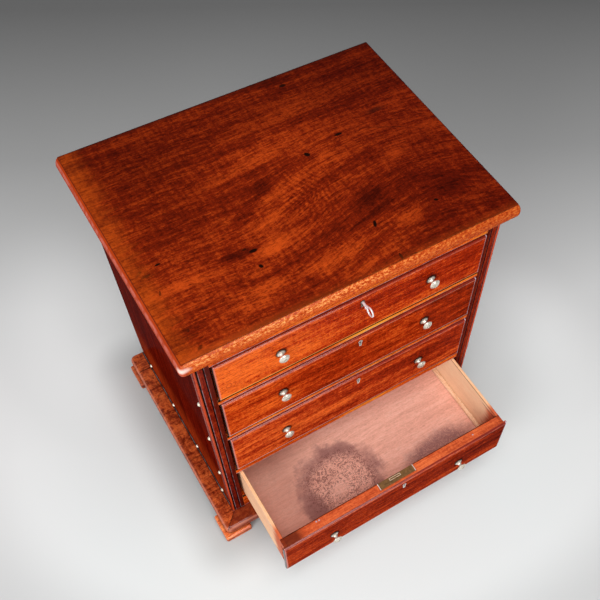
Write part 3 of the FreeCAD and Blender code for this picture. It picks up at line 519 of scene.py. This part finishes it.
def drawer_front(number, seed, painted_light_left, painted_shade_right, lift=None):
    """The wood of one drawer front, with lines of painted highlight, polish and painted shade along its
    edges.
    """
    name = "drawer_%d_front" % number
    low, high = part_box(name)

    def slope(wood):
        """Painted light towards the left end, painted shade towards the right one."""
        graph = wood.graph
        ends = graph.plus(graph.below(graph.x, -0.16, 0.02, painted_light_left),
                          graph.fade(graph.x, 0.02, 0.17, 0.0, -painted_shade_right))
        return graph.plus(ends, lift(wood)) if lift else ends

    wood = Wood(name + "_mahogany", "x", front_shades[number], seed=seed, bend=0.014, contrast=0.85,
                ripple=0.10, lift=slope, ticks=0.45)
    graph = wood.graph
    on_face = graph.below(graph.past(graph.y, low.y), 0.0030, 0.0036)
    to_top = graph.past(graph.z, high.z, -1.0)
    to_bottom = graph.past(graph.z, low.z)
    to_left = graph.past(graph.x, low.x)
    to_right = graph.past(graph.x, high.x, -1.0)
    highlight_weaker_right = graph.fade(graph.x, -0.15, 0.12, 1.0, 0.4)

    wood.paint((0.20, 0.014, 0.006), graph.below(to_top, 0.0002, 0.0014), on_face, 0.85)
    # Painted highlights along the top arris and low on the face, weaker to the right.
    arris_highlight = graph.line(to_top, 0.0021, 0.0002, 0.0007)
    wood.paint((0.90, 0.24, 0.10), wood.broken(160.0, arris_highlight, on_face, highlight_weaker_right, 0.8))
    lower_highlight = graph.line(to_bottom, 0.0023, 0.0004, 0.0007)
    lower_highlight_colour = (0.98, 0.42, 0.10) if number == 1 else (0.92, 0.50, 0.42)
    wood.paint(lower_highlight_colour, lower_highlight, on_face, highlight_weaker_right, 0.85)
    # Painted shade in the gaps under the front and beside its left end, and a painted highlight on the left
    # arris.
    wood.paint(black_dirt_and_shade, graph.below(to_bottom, 0.0012, 0.0019), on_face)
    wood.paint((0.62, 0.16, 0.11), graph.line(to_left, 0.0016, 0.0002, 0.0006), on_face, 0.6)
    wood.paint(black_dirt_and_shade, graph.below(to_left, 0.0006, 0.0013), on_face)
    # Pale painted highlights on the rounding of the right end, strongest near the corners.
    near_corner = graph.larger(graph.below(to_top, 0.004, 0.011), graph.below(to_bottom, 0.004, 0.011))
    right_highlight = graph.line(to_right, 0.0012, 0.0003, 0.0006)
    wood.paint(pale_polish_and_highlight, right_highlight, on_face, graph.fade(near_corner, 0.0, 1.0, 0.25, 0.85))
    rounding = graph.from_sides(graph.x, graph.z, (low.x, low.z), (high.x, high.z))
    wood.polish(graph.times(graph.below(rounding, 0.0018, 0.0030), on_face))

    # Painted shade and dirt round each knob's foot, a little to the right and above
    for word in ("left", "right"):
        knob_low, knob_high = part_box("drawer_%d_%s_knob" % (number, word))
        middle = (knob_low + knob_high) / 2
        ring = graph.spot((middle.x + 0.0007, low.y, middle.z + 0.0006), (0.0082, 0.01, 0.0082), core=0.62)
        wood.paint(dark_smudge_and_shade, ring, 0.85)
    return wood


def smoke_and_light(wood):
    """Second drawer: a dark cloud left of the keyhole over a lighter left half."""
    graph = wood.graph
    cloud = graph.times(graph.spot((-0.03, -0.085, 0.268), (0.060, 0.05, 0.010)), -0.07)
    light = graph.times(graph.spot((-0.10, -0.085, 0.252), (0.060, 0.05, 0.016)), 0.08)
    return graph.plus(cloud, light)


def flame_and_shadow(wood):
    """Third drawer: an orange flame low on the left, a dark red cloud on the right."""
    graph = wood.graph
    flame = graph.times(graph.spot((-0.05, -0.085, 0.174), (0.110, 0.05, 0.015)), 0.18)
    cloud = graph.times(graph.spot((0.08, -0.085, 0.190), (0.120, 0.05, 0.020)), -0.07)
    return graph.plus(flame, cloud)


def add_curl(wood):
    """Top drawer: the fine rings of a small knot near the lower left corner."""
    graph = wood.graph
    away = graph.length_of(graph.from_point((-0.148, -0.085, 0.329)))
    uneven = graph.plus(away, graph.times(wood.mottle, 0.004))
    rings = graph.fade(graph.waves(uneven, 1500.0), 0.3, 1.0)
    wood.paint((0.20, 0.012, 0.003), rings, graph.below(away, 0.004, 0.011), 0.5)


def add_top_edge(wood):
    """Bottom drawer: the front's top edge, seen because the drawer is open, with painted shade and three
    nail heads.
    """
    graph = wood.graph
    low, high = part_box("drawer_4_front")
    on_top = graph.times(graph.below(graph.past(graph.z, high.z, -1.0), 0.0003, 0.0009),
                         graph.fade(graph.past(graph.y, low.y), 0.0022, 0.0030))
    end_wood = graph.ramp(wood.tone, (0.0, (0.30, 0.035, 0.010)), (0.5, (0.58, 0.095, 0.027)),
                          (1.0, (0.82, 0.19, 0.055)))
    wood.paint(end_wood, on_top)
    # Painted shade at the left end of the edge and along its back edge.
    left_end_shade = graph.below(graph.x, -0.140, -0.127)
    wood.paint((0.10, 0.012, 0.005), on_top, left_end_shade, 0.85)
    back_edge_shade = graph.line(graph.past(graph.y, high.y, -1.0), 0.0003, 0.0004, 0.0006)
    wood.paint(black_dirt_and_shade, on_top, back_edge_shade, 0.8)
    for x, y in ((-0.1109, -0.1837), (-0.1073, -0.1839), (0.1128, -0.1868)):
        nail = graph.spot((x, y, high.z), (0.0014, 0.0014, 0.002), core=0.4)
        wood.paint((0.45, 0.42, 0.46), nail, on_top, 0.9)


def dress_fronts():
    first = drawer_front(1, seed=9.3, painted_light_left=0.13, painted_shade_right=0.05)
    second = drawer_front(2, seed=13.6, painted_light_left=0.03, painted_shade_right=0.12, lift=smoke_and_light)
    third = drawer_front(3, seed=17.9, painted_light_left=0.03, painted_shade_right=0.02, lift=flame_and_shadow)
    fourth = drawer_front(4, seed=22.4, painted_light_left=0.0, painted_shade_right=0.05)
    add_curl(first)
    add_top_edge(fourth)
    for number, wood in enumerate((first, second, third, fourth), 1):
        dress("drawer_%d_front" % number, wood.finish())


def dress_rails():
    """Orange rails: a painted highlight, a pale line of polish and highlight low down, a painted shadow
    under the drawer above.
    """
    shades = ((0.36, 0.032, 0.004), (0.82, 0.110, 0.010), (1.0, 0.28, 0.028))
    for index, name in enumerate(("top_rail", "upper_rail", "middle_rail", "lower_rail", "bottom_rail")):
        low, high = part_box(name)
        wood = Wood(name + "_mahogany", "x", shades, seed=21.0 + index * 1.3)
        graph = wood.graph
        # A painted highlight, strong on the upper rail.
        bright = graph.spot((0.02, low.y, (low.z + high.z) / 2), (0.06, 0.02, 0.02))
        wood.paint((1.0, 0.42, 0.045), bright, 0.8 if name == "upper_rail" else 0.2)
        on_face = graph.below(graph.past(graph.y, low.y), 0.0004, 0.0010)
        if name != "top_rail":
            under_drawer = graph.below(graph.past(graph.z, high.z, -1.0), 0.0042, 0.0056)
            wood.paint(black_dirt_and_shade, under_drawer, on_face)
        # A pale line of polish and painted highlight along the bottom, weaker to the right.
        polish_and_highlight_line = graph.line(graph.past(graph.z, low.z), 0.0006, 0.0002, 0.0004)
        highlight_weaker_right = graph.fade(graph.x, -0.15, 0.15, 0.85, 0.35)
        wood.paint(pale_polish_and_highlight, wood.broken(110.0, polish_and_highlight_line, on_face, highlight_weaker_right))
        dress(name, wood.finish(edge_colour=(0.8, 0.3, 0.1)))


def dress_sides():
    """Deep maroon side boards with a lighter, more orange painted reflection of the base, and painted shade
    near the top.
    """
    shades = ((0.038, 0.0014, 0.0006), (0.096, 0.0036, 0.0010), (0.20, 0.010, 0.0022))
    for name in ("left_side", "right_side"):
        low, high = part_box(name)
        wood = Wood(name + "_mahogany", "z", shades, seed=31.0, contrast=0.7, ticks=0.2)
        graph = wood.graph
        above_base = graph.past(graph.z, low.z)
        below_top = graph.past(graph.z, high.z, -1.0)
        # Painted reflection of the base: lighter, more orange wood low down.
        ragged = graph.plus(above_base, graph.around_zero(wood.mottle, 0.03))
        reflected_base_wood = graph.ramp(wood.tone, (0.0, (0.11, 0.008, 0.0015)), (1.0, (0.42, 0.042, 0.007)))
        wood.paint(reflected_base_wood, graph.below(ragged, 0.030, 0.110, 0.8))
        # Painted shade towards the top, under the top board's overhang.
        wood.deepen((0.50, 0.42, 0.42), graph.below(below_top, 0.0, 0.10, 0.7))
        # Painted shade in the joint just above the base.
        wood.paint(black_dirt_and_shade, graph.below(above_base, 0.0003, 0.0016))
        dress(name, wood.finish(roughness=0.12, coat_roughness=0.05))


def dress_pilasters():
    """A corner bead with a painted highlight, grooves of painted shade with a pale line beside each, and a
    darker inner margin.
    """
    shades = ((0.060, 0.004, 0.002), (0.190, 0.011, 0.0035), (0.40, 0.042, 0.009))
    # The grooves start this far from the outer edge, as in the solids.
    groove_starts = (0.0039, 0.0109)
    groove_width = 0.0011
    for name in ("left_pilaster", "right_pilaster"):
        low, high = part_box(name)
        wood = Wood(name + "_mahogany", "z", shades, seed=41.0, contrast=0.9)
        graph = wood.graph
        outer_edge = max(abs(low.x), abs(high.x))
        inwards = graph.plus(graph.times(graph.size_of(graph.x), -1.0), outer_edge)
        # A painted highlight along the crest of the corner bead.
        wood.paint((0.62, 0.070, 0.016), graph.line(inwards, 0.0022, 0.0005, 0.0010), 0.8)
        for start in groove_starts:
            # Painted shade in each groove.
            wood.paint(black_dirt_and_shade, graph.between(inwards, start, start + groove_width, 0.0002))
            lip = graph.line(inwards, start + groove_width + 0.0003, 0.0001, 0.0004)
            wood.paint((0.40, 0.34, 0.38), wood.broken(140.0, lip, 0.5))
        wood.paint((0.07, 0.008, 0.004), graph.fade(inwards, 0.0118, 0.0126, 0.0, 0.55))
        foot_line = graph.below(graph.past(graph.z, low.z), 0.0006, 0.0016, 0.75)
        wood.paint((0.42, 0.36, 0.36), wood.broken(160.0, foot_line))
        bead = graph.below(inwards, 0.0034, 0.0040)
        wood.polish(graph.times(bead, 0.35))
        dress(name, wood.finish())


# Base board
base_low, base_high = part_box("base_board")
side_face = abs(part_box("left_side")[0].x)
case_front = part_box("left_pilaster")[0].y


def dress_base():
    """Crossbanded strips at the sides, which meet the front strip in mitres."""
    shades = ((0.14, 0.013, 0.004), (0.37, 0.052, 0.013), (0.62, 0.125, 0.03))
    base = Wood("base_polished_mahogany", "x", shades, seed=51.0, contrast=1.05, ripple=0.25)
    graph = base.graph
    outwards = graph.plus(graph.size_of(graph.x), -side_face)
    forwards = graph.times(graph.plus(graph.y, -case_front), -1.0)
    from_edge = graph.from_sides(graph.x, graph.y, base_low, base_high)
    above_floor = graph.past(graph.z, base_low.z)
    blotches = graph.noise(graph.scaled(graph.place, 95.0, 70.0, 70.0), detail=5.0, roughness=0.7,
                           distortion=1.2)
    base.paint((0.10, 0.010, 0.003), graph.fade(blotches, 0.52, 0.64), 0.7)
    base.paint((0.68, 0.130, 0.027), graph.below(blotches, 0.36, 0.50), 0.70)

    mitre_gap = graph.minus(forwards, outwards)
    front_strip = graph.fade(mitre_gap, -0.0004, 0.0006)
    base.paint((0.15, 0.017, 0.007), front_strip, 0.66)
    in_corner = graph.times(graph.fade(forwards, -0.0006, 0.0004), graph.fade(outwards, -0.0006, 0.0004))
    base.paint(black_dirt_and_shade, graph.line(mitre_gap, 0.0, 0.0003, 0.0006), in_corner, 0.9)
    on_side_strip = graph.fade(outwards, -0.001, 0.0)
    for joint_y, strength in ((0.1739, 0.85), (0.012, 0.45)):
        base.paint(black_dirt_and_shade, graph.line(graph.y, joint_y, 0.0003, 0.0006), on_side_strip, strength)

    behind_front = graph.below(forwards, -0.001, 0.0)
    # Painted shade in the joint line where the side meets the base.
    base.paint(black_dirt_and_shade, graph.line(outwards, 0.0008, 0.0009, 0.0008), behind_front, 0.9)
    grey_core = graph.line(outwards, 0.0009, 0.0001, 0.0004)
    base.paint((0.36, 0.33, 0.34), base.broken(120.0, grey_core, behind_front, 0.75))
    # A painted pinkish highlight along the rounded nose.
    base.paint((0.72, 0.26, 0.16), graph.line(from_edge, 0.0014, 0.0004, 0.0012), 0.45)
    base.paint((0.62, 0.11, 0.03), graph.below(above_floor, 0.001, 0.0065), 0.35)
    nose = graph.below(from_edge, 0.0030, 0.0062)
    base.polish(graph.times(nose, 0.6))
    dress("base_board", base.finish(edge_colour=(0.6, 0.2, 0.08), coat_roughness=0.14))


def dress_feet():
    """Orange feet, with painted shade in the groove between their two beads. The back ones are painted
    darker, as shade.
    """
    shades = ((0.38, 0.046, 0.012), (0.76, 0.150, 0.038), (0.98, 0.32, 0.10))
    for index, place in enumerate(("front_left", "front_right", "back_left", "back_right")):
        name = place + "_foot"
        low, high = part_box(name)
        wood = Wood(name + "_mahogany", "x", shades, seed=55.0 + index, contrast=0.9)
        graph = wood.graph
        # Painted shade: the back feet darker.
        if place.startswith("back"):
            wood.deepen((0.55, 0.42, 0.40), 0.7)
        groove = (low.z + high.z) / 2
        # Painted shade in the groove.
        wood.paint(black_dirt_and_shade, graph.line(graph.z, groove, 0.0006, 0.0008))
        wood.polish(graph.fade(graph.size_of(graph.plus(graph.z, -groove)), 0.001, 0.002))
        dress(name, wood.finish(edge_colour=(0.8, 0.3, 0.12), coat_roughness=0.12))


# Plain woods inside and behind
def bare_wood(name, grain, shades, seed, contrast=1.0):
    return Wood(name, grain, shades, seed, bend=0.01, contrast=contrast, ticks=0.15)


def bare_finish(wood, grime_and_shade=0.45):
    return wood.finish(roughness=0.5, coat=0.0, specular=0.08, grime_and_shade=grime_and_shade, bump=0.5)


def dress_back_and_runners():
    back_shades = ((0.16, 0.07, 0.03), (0.27, 0.13, 0.065), (0.38, 0.21, 0.11))
    dress("back_board", bare_finish(bare_wood("back_stained_softwood", "z", back_shades, seed=61.0)))
    runner_shades = ((0.3, 0.16, 0.07), (0.45, 0.26, 0.12), (0.6, 0.38, 0.2))
    runner = bare_finish(bare_wood("runner_bare_wood", "y", runner_shades, seed=63.0))
    for name in ("left_runners", "right_runners"):
        dress(name, runner)


def dress_drawer_wall(number, word):
    """A side or the back of a drawer. The sides' faces are painted lighter as painted light; they are
    stained and split near the front.
    """
    shades = ((0.74, 0.29, 0.12), (0.97, 0.48, 0.26), (1.0, 0.68, 0.43))
    name = "drawer_%d_%s" % (number, word)
    low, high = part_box(name)
    grain = "x" if word == "back" else "y"
    wood = bare_wood(name + "_pale_wood", grain, shades, seed=65.0 + number, contrast=0.85)
    graph = wood.graph
    rim = graph.below(graph.past(graph.z, high.z, -1.0), 0.0003, 0.0010)
    wood.paint((0.98, 0.62, 0.34), rim, 0.5)
    if word != "back":
        outside = -1.0 if word == "left_side" else 1.0
        # Painted light: the outer and inner faces lighter, the inner ones most.
        outer_face_light = graph.fade(graph.times(graph.faces_right, outside), 0.5, 0.8)
        inner_face_light = graph.fade(graph.times(graph.faces_right, -outside), 0.5, 0.8)
        wood.paint((0.96, 0.62, 0.40), outer_face_light, 0.55)
        wood.paint((1.0, 0.76, 0.50), inner_face_light, 0.62)
        from_front = graph.past(graph.y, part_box("drawer_%d_front" % number)[1].y)
        ragged = graph.plus(from_front, graph.around_zero(wood.streaks, 0.02))
        wood.paint((0.58, 0.085, 0.022), graph.below(ragged, 0.008, 0.022, 0.9))
        split = graph.line(graph.z, high.z - 0.006, 0.0003, 0.0006)
        wood.paint(black_dirt_and_shade, split, graph.below(from_front, 0.020, 0.032), 0.85)
        from_inside = graph.plus(graph.size_of(graph.x), -min(abs(low.x), abs(high.x)))
        wood.paint((0.14, 0.06, 0.03), graph.below(from_inside, 0.0002, 0.0008), rim, 0.75)
    dress(name, bare_finish(wood))


def add_stains(wood, top):
    """Bottom drawer: a dark ring full of specks left of the lock, a second stain at the right."""
    graph = wood.graph
    wobble = graph.even_noise(38.0, detail=5.0, roughness=0.7)
    specks = graph.even_noise(200.0, detail=3.0, roughness=0.65, distortion=2.6)
    uneven = graph.even_noise(26.0, (4.0, 0.0, 0.0), detail=3.0)

    radius_x = 0.060
    radius_y = 0.056
    from_ring = graph.scaled(graph.from_point((-0.048, -0.136, top)), 1.0 / radius_x, 1.0 / radius_y, 1.0)
    reach = graph.plus(graph.length_of(from_ring), graph.around_zero(wobble, 0.75))
    inside = graph.below(reach, 0.74, 0.96)
    wood.paint((0.64, 0.31, 0.24), inside, 0.30)
    ring = graph.between(reach, 0.76, 0.90, 0.22)
    wood.paint((0.21, 0.085, 0.085), ring, graph.fade(uneven, 0.30, 0.60, 0.28, 0.74))
    clear_middle = graph.spot((-0.052, -0.142, top), (0.017, 0.014, 0.02))
    fewer = graph.fade(clear_middle, 0.0, 0.7, 1.0, 0.25)
    wood.paint((0.20, 0.075, 0.062), graph.fade(specks, 0.48, 0.58), fewer, inside, 0.78)

    right_patch = graph.spot((0.088, -0.168, top), (0.092, 0.048, 0.02), turn=0.1, core=0.1)
    right_stain = graph.fade(graph.plus(right_patch, graph.around_zero(wobble, 0.8)), 0.1, 0.75)
    wood.paint((0.27, 0.12, 0.115), right_stain, graph.fade(specks, 0.38, 0.56, 0.55, 0.85))
    # Painted shadow of the front along the bottom, weaker to the right.
    behind_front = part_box("drawer_4_front")[1].y
    front_shadow = graph.below(graph.y, behind_front, behind_front + 0.022, 0.50)
    wood.paint((0.30, 0.13, 0.11), front_shadow, graph.fade(graph.x, -0.02, 0.12, 1.0, 0.5))


def dress_drawer_bottom(number):
    """A pinkish drawer bottom, darker brown towards its left end with painted shadow and dust."""
    shades = ((0.70, 0.35, 0.26), (0.89, 0.47, 0.355), (0.98, 0.60, 0.48))
    name = "drawer_%d_bottom" % number
    low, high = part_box(name)
    wood = bare_wood(name + "_pinkish_wood", "x", shades, seed=67.0 + number, contrast=0.65)
    graph = wood.graph
    # Painted shadow of the drawer's left side, with dust, towards the left end.
    left_shadow = graph.below(graph.x, low.x + 0.030, low.x + 0.120, 0.60)
    dust_and_shadow = graph.fade(graph.plus(wood.mottle, graph.times(wood.figure, 0.6)), 0.70, 0.95, 0.5, 1.0)
    wood.paint((0.58, 0.27, 0.200), left_shadow, dust_and_shadow)
    if number == 4:
        add_stains(wood, high.z)
    dress(name, bare_finish(wood))


def dress_drawer_boxes():
    for number in range(1, 5):
        for word in ("left_side", "right_side", "back"):
            dress_drawer_wall(number, word)
        dress_drawer_bottom(number)
    slip_shades = ((0.80, 0.44, 0.24), (1.0, 0.66, 0.42), (1.0, 0.80, 0.58))
    for name in ("drawer_4_left_slip", "drawer_4_right_slip"):
        slip = bare_wood(name + "_pale_wood", "y", slip_shades, seed=69.0)
        dress(name, bare_finish(slip, grime_and_shade=0.3))


# Metals
def metal(name, shades, roughness, seed, metallic=0.6, spokes=None, dark_beyond=None,
          bright_ends=None, bright_rim=None):
    """Polished metal with a tarnish that lies in its corners and in soft patches.

    spokes is a middle (x, z) that faint rays run out from, and dark_beyond the y behind which the metal is
    tarnished and painted in shade. bright_ends and bright_rim are boxes with bright ends along x, or a
    bright line all round.
    """
    dull, bright, tarnish = shades
    graph = Graph(name)
    shift = (seed, seed, seed)
    patches = graph.even_noise(260.0, shift, detail=4.0, roughness=0.65)
    fine = graph.even_noise(1600.0, shift, detail=2.0)
    colour = graph.mix(graph.fade(patches, 0.35, 0.7), bright, dull)
    if spokes:
        angle = graph.math("ARCTAN2", graph.plus(graph.z, -spokes[1]), graph.plus(graph.x, -spokes[0]))
        rays = graph.noise(graph.point(graph.times(angle, 5.0), 0.0, seed), detail=3.0, roughness=0.7)
        colour = graph.mix(graph.fade(rays, 0.50, 0.68, 0.0, 0.35), colour, dull)
    if dark_beyond is not None:
        colour = graph.mix(graph.fade(graph.y, dark_beyond - 0.0014, dark_beyond - 0.0006), colour, tarnish)
    if bright_ends:
        low, high = bright_ends
        to_end = graph.smaller(graph.past(graph.x, low.x), graph.past(graph.x, high.x, -1.0))
        colour = graph.mix(graph.below(to_end, 0.0006, 0.0012, 0.9), colour, (0.95, 0.90, 0.84))
    if bright_rim:
        inwards = graph.from_sides(graph.x, graph.y, *bright_rim)
        colour = graph.mix(graph.below(inwards, 0.0005, 0.0009), colour, (1.0, 0.80, 0.55))
    colour = graph.mix(graph.times(graph.crevice(0.0015), 0.85), colour, tarnish)
    worn, rounded = graph.worn_edge(0.0002)
    colour = graph.mix(graph.times(worn, 0.5), colour, bright)
    tarnished = graph.fade(patches, 0.3, 0.8, roughness, roughness * 2.0)
    normal = graph.bump(fine, distance=0.00002, strength=0.2, normal=rounded)
    return graph.shade(Base_Color=colour, Metallic=metallic, Roughness=tarnished, Normal=normal)


def dress_knobs_and_keyholes():
    knob_shades = ((0.52, 0.46, 0.36), (0.90, 0.85, 0.75), (0.03, 0.02, 0.012))
    dark_shades = ((0.16, 0.10, 0.07), (0.30, 0.22, 0.16), (0.04, 0.02, 0.02))
    plate_shades = ((0.60, 0.56, 0.50), (0.95, 0.92, 0.88), (0.12, 0.09, 0.06))
    dark_plate = metal("escutcheon_dark_brass", dark_shades, roughness=0.3, seed=72.0)
    plate = metal("escutcheon_brass", plate_shades, roughness=0.2, seed=73.0)
    for number in range(1, 5):
        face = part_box("drawer_%d_front" % number)[0].y
        for word in ("left", "right"):
            name = "drawer_%d_%s_knob" % (number, word)
            low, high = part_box(name)
            middle = (low + high) / 2
            dress(name, metal(name + "_aged_brass", knob_shades, roughness=0.24, seed=71.0 + number,
                              spokes=(middle.x, middle.z), dark_beyond=face))
        dress("drawer_%d_escutcheon" % number, dark_plate if number == 1 else plate)


def dress_studs_locks_and_key():
    stud_shades = ((0.90, 0.80, 0.58), (1.0, 0.96, 0.84), (0.2, 0.12, 0.05))
    stud = metal("stud_polished_brass", stud_shades, roughness=0.25, seed=75.0, metallic=0.35)
    for name in ("left_studs", "right_studs"):
        dress(name, stud)
    lock_shades = ((0.13, 0.070, 0.022), (0.27, 0.150, 0.050), (0.06, 0.03, 0.015))
    bolt_shades = ((0.16, 0.085, 0.028), (0.30, 0.170, 0.060), (0.1, 0.07, 0.03))
    for number in (1, 4):
        name = "drawer_%d_lock" % number
        dress(name, metal(name + "_olive_brass", lock_shades, roughness=0.3, seed=77.0 + number,
                          metallic=0.5, bright_ends=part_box(name)))
        name = "drawer_%d_bolt" % number
        dress(name, metal(name + "_worn_brass", bolt_shades, roughness=0.22, seed=79.0 + number,
                          metallic=0.5, bright_rim=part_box(name)))
    key_shades = ((0.72, 0.70, 0.72), (0.97, 0.95, 0.97), (0.25, 0.20, 0.20))
    dress("key", metal("key_bright_steel", key_shades, roughness=0.2, seed=81.0, metallic=0.3))


# The view of the photograph: its frame, focal length and centre in pixels, and the camera's turns and place
image_pixels = 600.0
focal_pixels = 788.84
centre_across = 367.56
centre_down = 382.66
view_azimuth = math.radians(35.88)
view_elevation = math.radians(59.65)
view_roll = math.radians(4.29)
camera_place = Vector((-0.2607, -0.47175, 1.0029))
sensor_width = 36.0


def place_camera():
    level_share = math.cos(view_elevation)
    forward = Vector((math.sin(view_azimuth) * level_share, math.cos(view_azimuth) * level_share,
                      -math.sin(view_elevation)))
    level_right = Vector((math.cos(view_azimuth), -math.sin(view_azimuth), 0.0))
    level_down = forward.cross(level_right)
    right = math.cos(view_roll) * level_right - math.sin(view_roll) * level_down
    up = -(math.sin(view_roll) * level_right + math.cos(view_roll) * level_down)
    data = bpy.data.cameras.new("photograph_view")
    data.sensor_width = sensor_width
    data.lens = focal_pixels / image_pixels * sensor_width
    data.shift_x = -(centre_across / image_pixels - 0.5)
    data.shift_y = centre_down / image_pixels - 0.5
    data.clip_end = 50.0
    camera = bpy.data.objects.new("photograph_view", data)
    camera.matrix_world = Matrix((
        (right.x, up.x, -forward.x, camera_place.x),
        (right.y, up.y, -forward.y, camera_place.y),
        (right.z, up.z, -forward.z, camera_place.z),
        (0.0, 0.0, 0.0, 1.0),
    ))
    bpy.context.scene.collection.objects.link(camera)
    bpy.context.scene.camera = camera


# Floor: pale at the front, greyer towards the back along a direction turned from +Y towards +X
floor_half = 6.0
floor_turn = math.radians(27.5)
floor_start = -0.3
floor_end = 1.0


def grey(level):
    return (level, level, level)


def floor_paint():
    paint = Graph("floor_pale_paint")
    away = paint.plus(paint.times(paint.x, math.sin(floor_turn)), paint.times(paint.y, math.cos(floor_turn)))
    along_floor = paint.times(paint.plus(away, -floor_start), 1.0 / (floor_end - floor_start))
    colour = paint.ramp(along_floor, (0.0, grey(0.80)), (0.19, grey(0.80)), (0.38, grey(0.69)),
                        (0.63, grey(0.405)), (0.95, grey(0.198)))

    def tint(share, factor):
        return paint.mix(share, colour, factor, "MULTIPLY")

    # The near corners of the floor are painted a little darker, as painted shade.
    sideways = paint.plus(paint.times(paint.x, math.cos(floor_turn)),
                          paint.times(paint.y, -math.sin(floor_turn)))
    half_width = 0.38
    near_reach = 0.26
    towards_viewer = paint.smaller(away, 0.0)
    from_middle = paint.length_of(paint.point(paint.times(sideways, 1.0 / half_width),
                                              paint.times(towards_viewer, 1.0 / near_reach), 0.0))
    near_corners = paint.times(paint.fade(from_middle, 1.08, 1.45), paint.below(away, -0.08, 0.03))
    colour = tint(near_corners, grey(0.78))
    # The floor round the chest is painted cooler, because the chest throws red light on it.
    colour = tint(paint.spot((-0.05, -0.12, 0.0), (0.52, 0.52, 1.0), core=0.35), (0.955, 1.0, 1.0))
    # The shade beside the base is deepened on the left by painted shade. On either side of the chest the
    # floor is painted paler, as painted light.
    beside_x = paint.larger(paint.plus(paint.size_of(paint.x), -base_high.x), 0.0)
    beside_y = paint.larger(paint.larger(paint.past(paint.y, base_low.y, -1.0),
                                         paint.past(paint.y, base_high.y)), 0.0)
    beside = paint.length_of(paint.point(beside_x, beside_y, 0.0))
    left_part = paint.below(paint.x, -0.12, 0.10)
    colour = tint(paint.times(paint.below(beside, 0.0, 0.068), left_part), grey(0.66))
    for place, radii in (((0.32, -0.02, 0.0), (0.16, 0.18, 1.0)), ((-0.23, 0.32, 0.0), (0.14, 0.26, 1.0))):
        colour = tint(paint.spot(place, radii, core=0.2), grey(1.22))
    grain = paint.even_noise(40.0, detail=3.0)
    return paint.shade(Base_Color=colour, Roughness=paint.fade(grain, 0.3, 0.7, 0.6, 0.7),
                       Specular_IOR_Level=0.1)


def lay_floor():
    mesh = bpy.data.meshes.new("studio_floor")
    corners = [(x * floor_half, y * floor_half, 0.0) for x, y in ((-1, -1), (1, -1), (1, 1), (-1, 1))]
    mesh.from_pydata(corners, [], [(0, 1, 2, 3)])
    mesh.materials.append(floor_paint())
    floor = bpy.data.objects.new("studio_floor", mesh)
    bpy.context.scene.collection.objects.link(floor)


def softbox(name, place, aim, width, height, power):
    data = bpy.data.lights.new(name, "AREA")
    data.shape = "RECTANGLE"
    data.size = width
    data.size_y = height
    data.energy = power
    lamp = bpy.data.objects.new(name, data)
    lamp.location = place
    lamp.rotation_euler = (Vector(aim) - Vector(place)).to_track_quat("-Z", "Y").to_euler()
    bpy.context.scene.collection.objects.link(lamp)


def light_the_studio():
    """A weak even sky and three soft boxes: left, front and overhead."""
    world = bpy.data.worlds.new("studio")
    bpy.context.scene.world = world
    world.use_nodes = True
    sky = world.node_tree.nodes["Background"]
    sky.inputs["Color"].default_value = (1.0, 1.0, 1.0, 1.0)
    sky.inputs["Strength"].default_value = 0.25
    softbox("key_box", place=(-1.9, -1.1, 1.3), aim=(0.0, -0.05, 0.2), width=1.3, height=1.3, power=34.0)
    softbox("front_box", place=(0.15, -1.9, 1.1), aim=(0.0, -0.1, 0.25), width=0.9, height=0.9, power=9.0)
    softbox("overhead_box", place=(-0.2, -0.7, 2.3), aim=(0.0, -0.1, 0.2), width=1.6, height=1.4, power=28.0)


dress_top()
dress_fronts()
dress_rails()
dress_sides()
dress_pilasters()
dress_base()
dress_feet()
dress_back_and_runners()
dress_drawer_boxes()
dress_knobs_and_keyholes()
dress_studs_locks_and_key()
place_camera()
lay_floor()
light_the_studio()
bpy.context.scene.view_settings.view_transform = "Standard"
